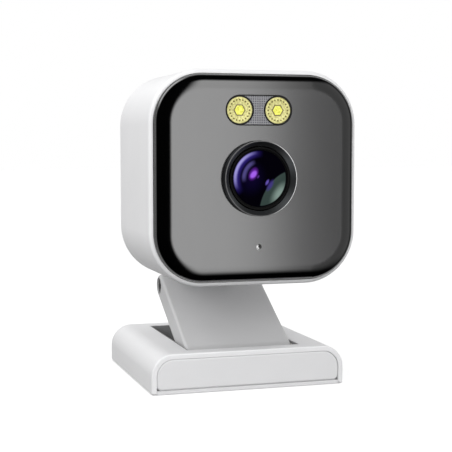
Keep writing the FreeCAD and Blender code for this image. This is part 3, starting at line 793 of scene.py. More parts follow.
THERMAL_PAD = Rubber("thermal_pad_finish", (0.35, 0.42, 0.52), 0.75)
STEEL_PIN = Turned("steel_pin_finish", (0.62, 0.62, 0.63), 0.28)
BLACK_SCREW = Turned("black_screw_finish", (0.03, 0.03, 0.032), 0.38, metallic=0.7)
BRASS_POST = Turned("brass_post_finish", (0.72, 0.52, 0.22), 0.3, axis=Axis.Y)
STEEL_SCREW = Turned("steel_screw_finish", (0.66, 0.66, 0.66), 0.3, axis=Axis.Z)
STEEL_SHEET = Brushed("steel_sheet_finish", (0.55, 0.55, 0.56), 0.38)
ALUMINIUM = Brushed("aluminium_finish", (0.72, 0.73, 0.74), 0.34)
TIN_CAN = Brushed("tin_can_finish", (0.74, 0.74, 0.72), 0.3, along=(1.0, 1.0, 0.05))
COPPER_FOIL = Brushed("copper_foil_finish", (0.72, 0.42, 0.25), 0.3)
GREEN_BOARD = CircuitBoard("green_board_finish", (0.01, 0.10, 0.045), 0.32)
WHITE_BOARD = CircuitBoard("white_board_finish", (0.62, 0.62, 0.60), 0.4)
RIBBON = CircuitBoard("ribbon_finish", (0.42, 0.19, 0.04), 0.35)
CHIP_RESIN = Resin("chip_resin_finish", (0.02, 0.02, 0.022), 0.55)
SENSOR_SILICON = Brushed("sensor_silicon_finish", (0.10, 0.07, 0.14), 0.2, metallic=0.6)
LED_OPTIC = Glow("led_optic_finish", (0.48, 0.45, 0.16), 0.18, pale=(0.84, 0.80, 0.37), glow=0.2)
LED_CORE = Glow("led_core_finish", (0.60, 0.58, 0.04), 0.2, pale=(0.92, 0.92, 0.22), glow=0.3, grain=0.45 * MM)
LED_DOT = Glow("led_dot_finish", (0.14, 0.11, 0.02), 0.3, pale=(0.26, 0.22, 0.06), glow=0.02)
LED_RIM = Glow("led_rim_finish", (0.09, 0.06, 0.045), 0.3, pale=(0.2, 0.14, 0.11), glow=0.0, grain=0.25 * MM)
MESH_INSERT = MeshInsert("mesh_insert_finish", (0.27, 0.27, 0.285), 0.32, pitch=0.66 * MM)
PORT_METAL = Turned("port_metal_finish", (0.9, 0.9, 0.9), 0.4, axis=Axis.Y, ring=0.3 * MM)
GLASS_ELEMENT = Brushed("glass_element_finish", (0.05, 0.03, 0.12), 0.08, metallic=0.3)


# ---------------------------------------------------------------- modelling helpers


def block(low: Vector, high: Vector) -> BMesh:
    """A box between two corners.

    Args:
        low: Lowest corner.
        high: Highest corner.

    Returns:
        The new bmesh.
    """
    bm = bmesh.new()
    size = high - low
    matrix = Matrix.Translation((low + high) / 2) @ Matrix.Diagonal((*size, 1.0))
    bmesh.ops.create_cube(bm, size=1.0, matrix=matrix)
    return bm


def edges_along(bm: BMesh, axis: Vector, keep: Callable[[Vector], bool] = lambda middle: True,
                straight: float = 0.999) -> list[bmesh.types.BMEdge]:
    """The edges that run along an axis.

    Args:
        bm: The bmesh.
        axis: The axis.
        keep: A test that an edge's middle passes.
        straight: Least cosine of its angle to the axis.

    Returns:
        The edges.
    """
    found = []
    for edge in bm.edges:
        first, second = (vert.co for vert in edge.verts)
        span = second - first
        if span.length > TINY and abs(span.normalized().dot(axis)) > straight and keep((first + second) / 2):
            found.append(edge)
    return found


def edges_at(bm: BMesh, axis: Axis, level: float, keep: Callable[[Vector], bool] = lambda middle: True,
             slack: float = 1e-5) -> list[bmesh.types.BMEdge]:
    """The edges that lie wholly at one level of an axis.

    Args:
        bm: The bmesh.
        axis: The axis.
        level: The level.
        keep: A test that an edge's middle passes.
        slack: How far from the level a vertex may be.

    Returns:
        The edges.
    """
    found = []
    for edge in bm.edges:
        first, second = (vert.co for vert in edge.verts)
        if abs(first[axis] - level) < slack and abs(second[axis] - level) < slack and keep((first + second) / 2):
            found.append(edge)
    return found


def round_edges(bm: BMesh, edges: list[bmesh.types.BMEdge], radius: float, segments: int) -> None:
    """Round edges off with circular fillets.

    Args:
        bm: The bmesh.
        edges: Its edges to round.
        radius: Radius of the fillet.
        segments: Facets in it.
    """
    bmesh.ops.bevel(bm, geom=edges, offset=radius, offset_type="OFFSET", segments=segments, profile=0.5,
                    affect="EDGES", material=-1, clamp_overlap=False)
    bmesh.ops.remove_doubles(bm, verts=bm.verts, dist=MERGE)


def slab(width: float, height: float, corner: float, front: float, back: float, middle: Vector,
         segments: int = 16) -> BMesh:
    """A plate square to Y with four rounded corners.

    Args:
        width: Size along X.
        height: Size along Z.
        corner: Radius of the corners.
        front: Y of its front.
        back: Y of its back.
        middle: Its centre; only X and Z are used.
        segments: Facets in a corner.

    Returns:
        The new bmesh.
    """
    low = Vector((middle.x - width / 2, front, middle.z - height / 2))
    high = Vector((middle.x + width / 2, back, middle.z + height / 2))
    bm = block(low, high)
    if corner > 0:
        round_edges(bm, edges_along(bm, Y_AXIS), min(corner, width / 2 - TINY, height / 2 - TINY), segments)
    return bm


def turned(profile: Sequence[tuple[float, float]], axis_point: Vector, axis: Vector = Y_AXIS,
           steps: int = 96) -> BMesh:
    """Spin a closed or axis-to-axis profile into a solid of revolution.

    Args:
        profile: Points as (radius, place along the axis).
        axis_point: A point on the axis.
        axis: Y_AXIS or X_AXIS.
        steps: Facets in a turn.

    Returns:
        The new bmesh.
    """
    bm = bmesh.new()
    verts = [bm.verts.new(axis_point + Z_AXIS * radius + axis * along) for radius, along in profile]
    edges = [bm.edges.new(pair) for pair in zip(verts, verts[1:])]
    if profile[0][0] > TINY or profile[-1][0] > TINY:
        edges.append(bm.edges.new((verts[-1], verts[0])))
    bmesh.ops.spin(bm, geom=verts + edges, cent=axis_point, axis=axis, angle=2 * math.pi, steps=steps,
                   use_merge=True, use_duplicate=False)
    bmesh.ops.remove_doubles(bm, verts=bm.verts, dist=TINY)
    bmesh.ops.recalc_face_normals(bm, faces=bm.faces)
    return bm


def drill(radius: float, start: float, end: float, centre: Vector, axis: Vector = Y_AXIS, steps: int = 96) -> BMesh:
    """A round bar, to cut a hole with.

    Args:
        radius: Its radius.
        start: Where it starts along the axis, from its centre.
        end: Where it ends.
        centre: A point on the axis.
        axis: Y_AXIS or X_AXIS.
        steps: Facets in a turn.

    Returns:
        The new bmesh.
    """
    return turned([(0.0, start), (radius, start), (radius, end), (0.0, end)], centre, axis, steps)


def turn(bm: BMesh, angle: float, about: Vector, axis: Vector = X_AXIS) -> BMesh:
    """Turn a whole bmesh about an axis through a point."""
    bmesh.ops.rotate(bm, verts=bm.verts, cent=about, matrix=Matrix.Rotation(angle, 3, axis))
    return bm


def smooth(mesh: bpy.types.Mesh, sharp: float = SHARP) -> None:
    """Shade a mesh smooth but for its sharp edges.

    Args:
        mesh: The mesh.
        sharp: Angle past which an edge stays crisp.
    """
    bm = bmesh.new()
    bm.from_mesh(mesh)
    for face in bm.faces:
        face.smooth = True
    for edge in bm.edges:
        edge.smooth = edge.is_manifold and edge.calc_face_angle(0.0) < sharp
    bm.to_mesh(mesh)
    bm.free()


def joined(parts: Iterable[BMesh]) -> BMesh:
    """Put several bmeshes into one.

    Args:
        parts: The bmeshes, which are used up.

    Returns:
        The new bmesh.
    """
    whole = bmesh.new()
    for part in parts:
        mesh = bpy.data.meshes.new("part")
        part.to_mesh(mesh)
        part.free()
        whole.from_mesh(mesh)
        bpy.data.meshes.remove(mesh)
    return whole


def combined(bm: BMesh, others: Iterable[BMesh], way: Carving) -> BMesh:
    """Combine a solid with others, one after the other.

    Args:
        bm: The first solid.
        others: What is added to it or taken away.
        way: Whether they are taken away or added.

    Returns:
        The new bmesh.
    """
    body = as_object("carving", bm)
    tools = []
    for index, other in enumerate(others):
        tool = as_object(f"tool_{index}", other)
        tools.append(tool)
        modifier = body.modifiers.new(f"cut_{index}", "BOOLEAN")
        modifier.operation = way.value
        modifier.solver = "EXACT"
        modifier.object = tool
    bpy.context.view_layer.update()
    depsgraph = bpy.context.evaluated_depsgraph_get()
    mesh = bpy.data.meshes.new_from_object(body.evaluated_get(depsgraph))
    result = bmesh.new()
    result.from_mesh(mesh)
    bpy.data.meshes.remove(mesh)
    for item in (body, *tools):
        data = item.data
        bpy.data.objects.remove(item)
        bpy.data.meshes.remove(data)
    bmesh.ops.remove_doubles(result, verts=result.verts, dist=TINY)
    return result


def carved(bm: BMesh, cutters: Iterable[BMesh]) -> BMesh:
    """Cut solids out of another."""
    return combined(bm, cutters, Carving.CUT)


def united(bm: BMesh, other: BMesh) -> BMesh:
    """Join two solids into one skin."""
    return combined(bm, [other], Carving.FUSE)


def as_object(name: str, bm: BMesh) -> bpy.types.Object:
    """Turn a bmesh into a scene object.

    Args:
        name: The object's name.
        bm: Its shape, which is used up.

    Returns:
        The object.
    """
    mesh = bpy.data.meshes.new(name)
    bm.to_mesh(mesh)
    bm.free()
    item = bpy.data.objects.new(name, mesh)
    bpy.context.scene.collection.objects.link(item)
    return item


@dataclass
class SubAssembly:
    """A group of pieces that ride on one body."""

    body: Body
    count: int = 0

    def piece(self, name: str, bm: BMesh, finish: Finish, slot: str,
              stands_for: Sequence[str] = (), sharp: float = SHARP) -> bpy.types.Object:
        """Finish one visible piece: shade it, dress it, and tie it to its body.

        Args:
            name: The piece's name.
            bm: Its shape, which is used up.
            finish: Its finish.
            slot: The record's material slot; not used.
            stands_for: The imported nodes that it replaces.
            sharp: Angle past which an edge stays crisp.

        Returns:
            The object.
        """
        item = as_object(name, bm)
        smooth(item.data, sharp)
        item.data.materials.append(finish.material())
        weighted = item.modifiers.new("weighted", "WEIGHTED_NORMAL")
        weighted.keep_sharp = True
        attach(item, self.body.value)
        if stands_for:
            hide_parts(*stands_for)
        self.count += 1
        LOG.info("%s: %d faces, on %s", name, len(item.data.polygons), self.body.value)
        return item

    def dress(self, node: str, finish: Finish) -> None:
        """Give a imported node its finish.

        Args:
            node: The node's name.
            finish: Its finish.
        """
        item = frame["nodes"][node]
        item.data.materials.clear()
        item.data.materials.append(finish.material())
        LOG.info("%s: packed node, %s", node, finish.name)


# ---------------------------------------------------------------- base


@dataclass
class Base(SubAssembly):
    """The base: arched shell with its lined well, end caps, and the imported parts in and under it."""

    body: Body = Body.BASE
    side_radius: float = 6.5 * MM
    wall: float = 1.5 * MM
    tray_wall: float = 1.2 * MM
    end_round: float = 0.5 * MM
    foot_round: float = 0.4 * MM
    well_round: float = 0.35 * MM
    cap_corner: float = 1.5 * MM
    cap_round: float = 0.6 * MM
    cap_grow: float = 0.1 * MM
    lining: float = 0.35 * MM
    lining_drop: float = 0.2 * MM
    lining_gap: float = 0.02 * MM
    tray_gap: float = 0.01 * MM
    arch_facets: int = 14
    corner_facets: int = 6
    cap_facets: int = 5
    edge_facets: int = 3

    def arch(self, low: Vector, high: Vector, radius: float) -> BMesh:
        """A block whose two long top edges are rounded.

        Args:
            low: Lowest corner.
            high: Highest corner.
            radius: Radius of the rounding.

        Returns:
            The new bmesh.
        """
        bm = block(low, high)
        top = edges_along(bm, Y_AXIS, lambda middle: middle.z > (low.z + high.z) / 2)
        round_edges(bm, top, radius, self.arch_facets)
        return bm

    def build(self) -> None:
        """Model the shell, the lining and the caps, and dress the rest."""
        low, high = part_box("base_shell")
        tray_low, tray_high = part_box("well_tray")
        shell = self.arch(low, high, self.side_radius)
        for end in (low.y, high.y):
            arch_edges = edges_at(shell, Axis.Y, end, lambda m: m.z > low.z + TINY)
            round_edges(shell, arch_edges, self.end_round, self.edge_facets)
        round_edges(shell, edges_at(shell, Axis.Z, low.z), self.foot_round, self.edge_facets)
        inner = self.arch(Vector((low.x + self.wall, low.y - self.wall, low.z - self.wall)),
                          Vector((high.x - self.wall, high.y + self.wall, high.z - self.wall)),
                          self.side_radius - self.wall)
        inset = self.tray_wall - self.lining
        well_low = Vector((tray_low.x + inset, tray_low.y + inset, low.z - self.wall))
        well_high = Vector((tray_high.x - inset, tray_high.y - inset, high.z + self.wall))
        self.build_lining(well_low, well_high, high.z - self.lining_drop)
        shell = carved(shell, [inner, block(well_low, well_high)])
        rim = edges_at(shell, Axis.Z, high.z, lambda m: abs(m.x) < well_high.x + TINY
                       and well_low.y - TINY < m.y < well_high.y + TINY)
        round_edges(shell, rim, self.well_round, self.edge_facets)
        self.piece("base_shell_skin", shell, WHITE_SHELL, "white_shell", ["base_shell"])
        self.build_caps()
        for node, finish in (("base_bottom_plate", WHITE_CAP), ("base_foot_pad", FOOT_RUBBER),
                             ("base_screws", STEEL_SCREW), ("well_tray", WELL_GREY),
                             ("base_hinge_pin", STEEL_PIN), ("base_pin_clips", STEEL_PIN),
                             ("base_hinge_washers", NYLON), ("ballast_bars", STEEL_SHEET)):
            self.dress(node, finish)

    def build_lining(self, low: Vector, high: Vector, top: float) -> None:
        """Model the upright lining of the well, from the tray to just under the shell's top.

        Args:
            low: Lowest corner of the well.
            high: Highest corner of the well.
            top: Height of the lining's top.
        """
        skin = Vector((self.lining_gap, self.lining_gap, 0))
        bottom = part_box("well_tray")[1].z + self.tray_gap
        outer = block(Vector((low.x, low.y, bottom)) + skin, Vector((high.x, high.y, top)) - skin)
        inner = block(Vector((low.x + self.lining, low.y + self.lining, bottom - MM)),
                      Vector((high.x - self.lining, high.y - self.lining, top + MM)))
        self.piece("well_lining", carved(outer, [inner]), WELL_GREY, "well_grey")

    def build_caps(self) -> None:
        """Model the two end caps with softened edges."""
        for node in ("base_front_cap", "base_rear_cap"):
            low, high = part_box(node)
            grow = Vector((self.cap_grow, 0, self.cap_grow))
            low, high = low - grow, high + grow
            radius = self.side_radius - (low.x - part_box("base_shell")[0].x)
            cap = self.arch(low, high, radius)
            bottom = edges_along(cap, Y_AXIS, lambda m: m.z < low.z + TINY)
            round_edges(cap, bottom, self.cap_corner, self.corner_facets)
            outside = low.y if node == "base_front_cap" else high.y
            round_edges(cap, edges_at(cap, Axis.Y, outside), self.cap_round, self.cap_facets)
            self.piece(node + "_skin", cap, WHITE_CAP, "white_cap", [node])


# ---------------------------------------------------------------- arm


@dataclass
class Arm(SubAssembly):
    """The flat arm between the two hinges."""

    body: Body = Body.ARM
    thick: float = 7.3 * MM
    lean: float = math.radians(29.5)
    edge_round: float = 1.0 * MM
    recess_radius: float = 2.7 * MM
    recess_depth: float = 1.6 * MM
    notch_half: float = 6.8 * MM
    notch_from_tip: float = 5.5 * MM
    cover_wide: float = 27.0 * MM
    cover_start: float = 6.0 * MM
    cover_end: float = 29.4 * MM
    cover_deep: float = 1.2 * MM
    tip_facets: int = 20
    edge_facets: int = 6
    recess_facets: int = 48

    def hinges(self) -> tuple[Vector, Vector]:
        """The middle points of the lower and the upper hinge lines."""
        places = {joint["name"]: Vector(joint["pos_m"]) for joint in frame["joints"] if "pos_m" in joint}
        return places["arm_fold"], places["head_tilt"]

    def build(self) -> None:
        """Model the arm level, carve it, and turn it to its lean."""
        low_hinge, high_hinge = self.hinges()
        half = (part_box("arm_body")[1].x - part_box("arm_body")[0].x) / 2
        reach = (high_hinge - low_hinge).length
        radius = self.thick / 2
        tip = low_hinge + Y_AXIS * reach
        arm = block(low_hinge + Vector((-half, -radius, -radius)), tip + Vector((half, radius, radius)))
        round_edges(arm, edges_along(arm, X_AXIS), radius - TINY, self.tip_facets)
        sides = [edge for side in (-half, half) for edge in edges_at(arm, Axis.X, side)]
        round_edges(arm, sides, self.edge_round, self.edge_facets)
        cutters = [block(Vector((-self.notch_half, tip.y - self.notch_from_tip, tip.z - self.thick)),
                         Vector((self.notch_half, tip.y + self.thick, tip.z + self.thick))),
                   block(Vector((-self.cover_wide / 2, low_hinge.y + self.cover_start, tip.z - self.thick)),
                         Vector((self.cover_wide / 2, low_hinge.y + self.cover_end,
                                 tip.z - radius + self.cover_deep)))]
        for side in (-1, 1):
            ends = sorted((side * (half + MM), side * (half - self.recess_depth)))
            pivot = Vector((0, tip.y, tip.z))
            cutters.append(drill(self.recess_radius, *ends, pivot, X_AXIS, self.recess_facets))
        arm = turn(carved(arm, cutters), self.lean, low_hinge)
        self.piece("arm_skin", arm, ARM_GREY, "arm_grey", ["arm_body"])
        for node, finish in (("arm_rear_cover", ARM_GREY), ("arm_spine", STEEL_SHEET),
                             ("arm_cover_screws", STEEL_SCREW), ("tilt_screw", BLACK_SCREW),
                             ("tilt_nut", BLACK_SCREW), ("tilt_spring_washers", NYLON)):
            self.dress(node, finish)


# ---------------------------------------------------------------- head


@dataclass
class Housing(SubAssembly):
    """The white rounded cube and the cover and fittings in its back."""

    body: Body = Body.HEAD
    corner: float = 15.5 * MM
    wall: float = 2.2 * MM
    front_round: float = 1.1 * MM
    back_round: float = 11.0 * MM
    rim: float = 1.15 * MM
    seat: float = 4.6 * MM
    overlap: float = 0.1 * MM
    back_wall: float = 2.0 * MM
    cover_corner: float = 7.0 * MM
    cover_seat: float = 1.7 * MM
    lug_step: float = 2.4 * MM
    slot_gap: float = 0.15 * MM
    slot_half: float = 2.75 * MM
    slot_reach: float = 15 * MM
    slot_turn: float = math.radians(136)
    corner_facets: int = 24
    back_facets: int = 16
    front_facets: int = 6

    def build(self) -> None:
        """Model the shell with the opening for the rear cover, and dress the cover, the lug and the inlet."""
        low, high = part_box("housing_shell")
        middle = (low + high) / 2
        width, height = high.x - low.x, high.z - low.z
        shell = slab(width, height, self.corner, low.y, high.y, middle, self.corner_facets)
        round_edges(shell, edges_at(shell, Axis.Y, high.y), self.back_round, self.back_facets)
        round_edges(shell, edges_at(shell, Axis.Y, low.y), self.front_round, self.front_facets)
        pocket = slab(width - 2 * self.rim, height - 2 * self.rim, self.corner - self.rim,
                      low.y - MM, low.y + self.seat, middle, self.corner_facets)
        back = high.y - self.back_wall
        cavity = slab(width - 2 * self.wall, height - 2 * self.wall, self.corner - self.wall,
                      low.y + self.seat - self.overlap, back, middle, self.corner_facets // 2)
        round_edges(cavity, edges_at(cavity, Axis.Y, back), self.back_round - self.wall, self.back_facets // 2)
        cover_low, cover_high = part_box("rear_cover")
        side = cover_high.x - cover_low.x - 2 * self.cover_seat
        opening = slab(side, side, self.cover_corner, back - MM, high.y + MM, middle, self.corner_facets // 2)
        shell = carved(shell, [pocket, cavity, opening, self.lug_slot()])
        self.piece("housing_skin", shell, WHITE_SHELL, "white_shell", ["housing_shell"])
        self.dress("rear_cover", WHITE_SHELL)
        self.dress("tilt_lug", LUG_GREY)
        self.dress("usb_inlet", STEEL_SHEET)

    def lug_slot(self) -> BMesh:
        """The block that cuts the slot for the tilt lug.

        Returns:
            The new bmesh.
        """
        lug_low, lug_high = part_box("tilt_lug")
        half = (lug_high.x - lug_low.x) / 2 - self.lug_step + self.slot_gap
        pivot = Arm().hinges()[1]
        slot = block(pivot + Vector((-half, 0, -self.slot_half)),
                     pivot + Vector((half, self.slot_reach, self.slot_half)))
        return turn(slot, self.slot_turn, pivot)


@dataclass
class FrontPanel(SubAssembly):
    """The proud gloss window with its rounded flank, and the ports cut in it."""

    body: Body = Body.HEAD
    corner: float = 14.0 * MM
    flank: float = 4.65 * MM
    proud: float = 3.48 * MM
    ledge: float = 0.25 * MM
    flange: float = 0.7 * MM
    flange_round: float = 0.12 * MM
    lens_gap: float = 0.08 * MM
    lights_gap: float = 0.05 * MM
    through: float = 8 * MM
    mic_radius: float = 0.8 * MM
    mic_deep: float = 2 * MM
    mic_proud: float = 0.04 * MM
    mic_throat: float = 0.2
    mic_taper: float = 0.4 * MM
    mic_short: float = 0.1 * MM
    corner_facets: int = 28
    flank_facets: int = 18
    flange_facets: int = 4
    lights_facets: int = 16
    mic_facets: int = 48

    def build(self) -> None:
        """Model the window, cut its ports, and dress the seal and the chassis behind it."""
        low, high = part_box("front_panel")
        middle = (low + high) / 2
        flank, step = self.flank - self.ledge, self.ledge
        squash = (self.proud - self.flange) / flank
        panel = slab(high.x - low.x - 2 * step, high.z - low.z - 2 * step, self.corner - step, low.y,
                     low.y + flank + step, middle, self.corner_facets)
        round_edges(panel, edges_at(panel, Axis.Y, low.y), flank, self.flank_facets)
        bmesh.ops.scale(panel, vec=(1, squash, 1), space=Matrix.Translation((0, -low.y, 0)), verts=panel.verts)
        top = low.y + self.proud - self.flange
        flange = slab(high.x - low.x, high.z - low.z, self.corner, top, high.y, middle, self.corner_facets)
        round_edges(flange, edges_at(flange, Axis.Y, top), self.flange_round, self.flange_facets)
        panel = united(panel, flange)
        lens_low, lens_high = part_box("lens_bezel")
        led_low, led_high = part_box("led_window")
        mic_low, mic_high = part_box("mic_gasket")
        lens, mic = (lens_low + lens_high) / 2, (mic_low + mic_high) / 2
        lens_centre, mic_centre = Vector((lens.x, low.y, lens.z)), Vector((mic.x, low.y, mic.z))
        lens_radius = (lens_high.x - lens_low.x) / 2 + self.lens_gap
        pill, spare = (led_high.z - led_low.z) / 2, 2 * self.lights_gap
        reach, throat, end = self.mic_radius, self.mic_throat * self.mic_radius, self.mic_deep - self.mic_short
        cup = [(reach - TINY, -self.mic_proud), (throat, self.mic_taper), (throat, end), (reach - TINY, end)]
        self.piece("microphone_cup", turned(cup, mic_centre, steps=self.mic_facets), PORT_METAL, "can_metal")
        cutters = [drill(lens_radius, -MM, self.through, lens_centre),
                   slab(led_high.x - led_low.x + spare, 2 * pill + spare, pill, low.y - MM, low.y + self.through,
                        (led_low + led_high) / 2, self.lights_facets),
                   drill(reach, -MM, self.mic_deep, mic_centre, steps=32)]
        finish = SmokedPanel("smoked_panel_finish", (0.0006, 0.0006, 0.0007), 0.1, centre=tuple(middle))
        self.piece("front_panel_skin", carved(panel, cutters), finish, "panel_black", ["front_panel"])
        for node, colour in (("panel_gasket", SEAL_RUBBER), ("chassis_plate", CHASSIS_DARK),
                             ("mic_gasket", SEAL_RUBBER), ("microphone", TIN_CAN), ("mic_board", GREEN_BOARD)):
            self.dress(node, colour)


@dataclass
class LensUnit(SubAssembly):
    """Bezel, barrel front and front glass with painted reflections, with the optics behind them."""

    body: Body = Body.HEAD
    groove_radius: float = 9.2 * MM
    trim: float = 0.2 * MM
    funnel: float = 1.4 * MM
    barrel_radius: float = 9.0 * MM
    barrel_length: float = 14 * MM
    barrel_drop: float = 0.05 * MM
    glass_radius: float = 7.98 * MM
    glass_rise: float = 1.6 * MM
    glass_proud: float = 0.15 * MM
    glass_foot: float = 1.4 * MM
    glass_facets: int = 14
    ring_facets: int = 128

    def build(self) -> None:
        """Model the three visible rings of the lens and dress what is behind."""
        low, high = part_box("lens_bezel")
        middle = (low + high) / 2
        outer = (high.x - low.x) / 2
        back = high.y - low.y
        origin = Vector((middle.x, low.y, middle.z))
        trim, deep = self.trim, self.funnel
        bezel = [(outer, back), (outer, trim), (outer - trim, trim), (outer - trim, 0.0),
                 (outer - 1.8 * trim, 0.06 * MM), (self.groove_radius + 0.25 * MM, deep - 0.12 * MM),
                 (self.groove_radius + 0.08 * MM, deep), (self.groove_radius, deep + 0.25 * MM),
                 (self.groove_radius, back)]
        # The bezel's face carries a painted sheen.
        bezel_sheen_finish = PaintedSheenFace("bezel_dark_painted_sheen_finish", (0.020, 0.021, 0.022), 0.4, centre=tuple(origin))
        # The edge ring carries a painted highlight.
        edge_highlight_finish = PaintedHighlightEdge("edge_painted_highlight_finish", (0.85, 0.85, 0.86), 0.25, centre=tuple(origin))
        edge_ring = [(outer, trim), (outer - 0.1 * trim, 0.6 * trim), (outer - 0.6 * trim, 0.1 * trim),
                     (outer - trim, 0.0), (outer - trim, trim)]
        self.piece("lens_bezel_edge", turned(edge_ring, origin, steps=self.ring_facets), edge_highlight_finish, "bezel_dark")
        self.piece("lens_bezel_ring", turned(bezel, origin, steps=self.ring_facets), bezel_sheen_finish, "bezel_dark",
                   ["lens_bezel"])
        edge = self.glass_radius
        front = deep - self.barrel_drop
        barrel = [(self.barrel_radius, self.barrel_length), (self.barrel_radius, front + 0.15 * MM),
                  (self.barrel_radius - 0.12 * MM, front), (edge + 0.45 * MM, front),
                  (edge + 0.35 * MM, front + 0.18 * MM), (edge + 0.12 * MM, front + 0.25 * MM),
                  (edge, front + 0.45 * MM), (edge, self.barrel_length)]
        self.piece("lens_barrel_ring", turned(barrel, origin, steps=self.ring_facets), BARREL_BLACK,
                   "barrel_black", ["lens_barrel"])
        # The front glass's colours are painted reflections with painted glow.
        finish = PaintedReflectionLens("lens_painted_reflection_finish", (0.0006, 0.0004, 0.0016), 0.14, centre=tuple(origin), radius=edge)
        self.piece("front_glass", turned(self.dome(front), origin), finish, "lens_glass", ["front_lens"])
        for node, colour in (("inner_lenses", GLASS_ELEMENT), ("lens_spacers", BLACK_PLASTIC),
                             ("lens_holder", BLACK_PLASTIC), ("infrared_filter", GLASS_ELEMENT),
                             ("image_sensor", SENSOR_SILICON), ("sensor_board", GREEN_BOARD),
                             ("sensor_ribbon", RIBBON)):
            self.dress(node, colour)

    def dome(self, front: float) -> list[Band]:
        """The profile of the front glass, from its foot to its top.

        Args:
            front: How far the barrel's front lies behind the bezel's.

        Returns:
            Points as (radius, place along the axis).
        """
        edge, rise = self.glass_radius, self.glass_rise
        curve = (edge ** 2 + rise ** 2) / (2 * rise)
        span = math.asin(edge / curve)
        top, foot = front + self.glass_proud - rise, front + self.glass_foot
        points = [(0.0, foot), (edge - TINY, foot)]
        for index in range(self.glass_facets + 1):
            angle = span * (1 - index / self.glass_facets)
            inset = TINY if index == 0 else 0.0
            points.append((curve * math.sin(angle) - inset, top + curve - curve * math.cos(angle)))
        return points


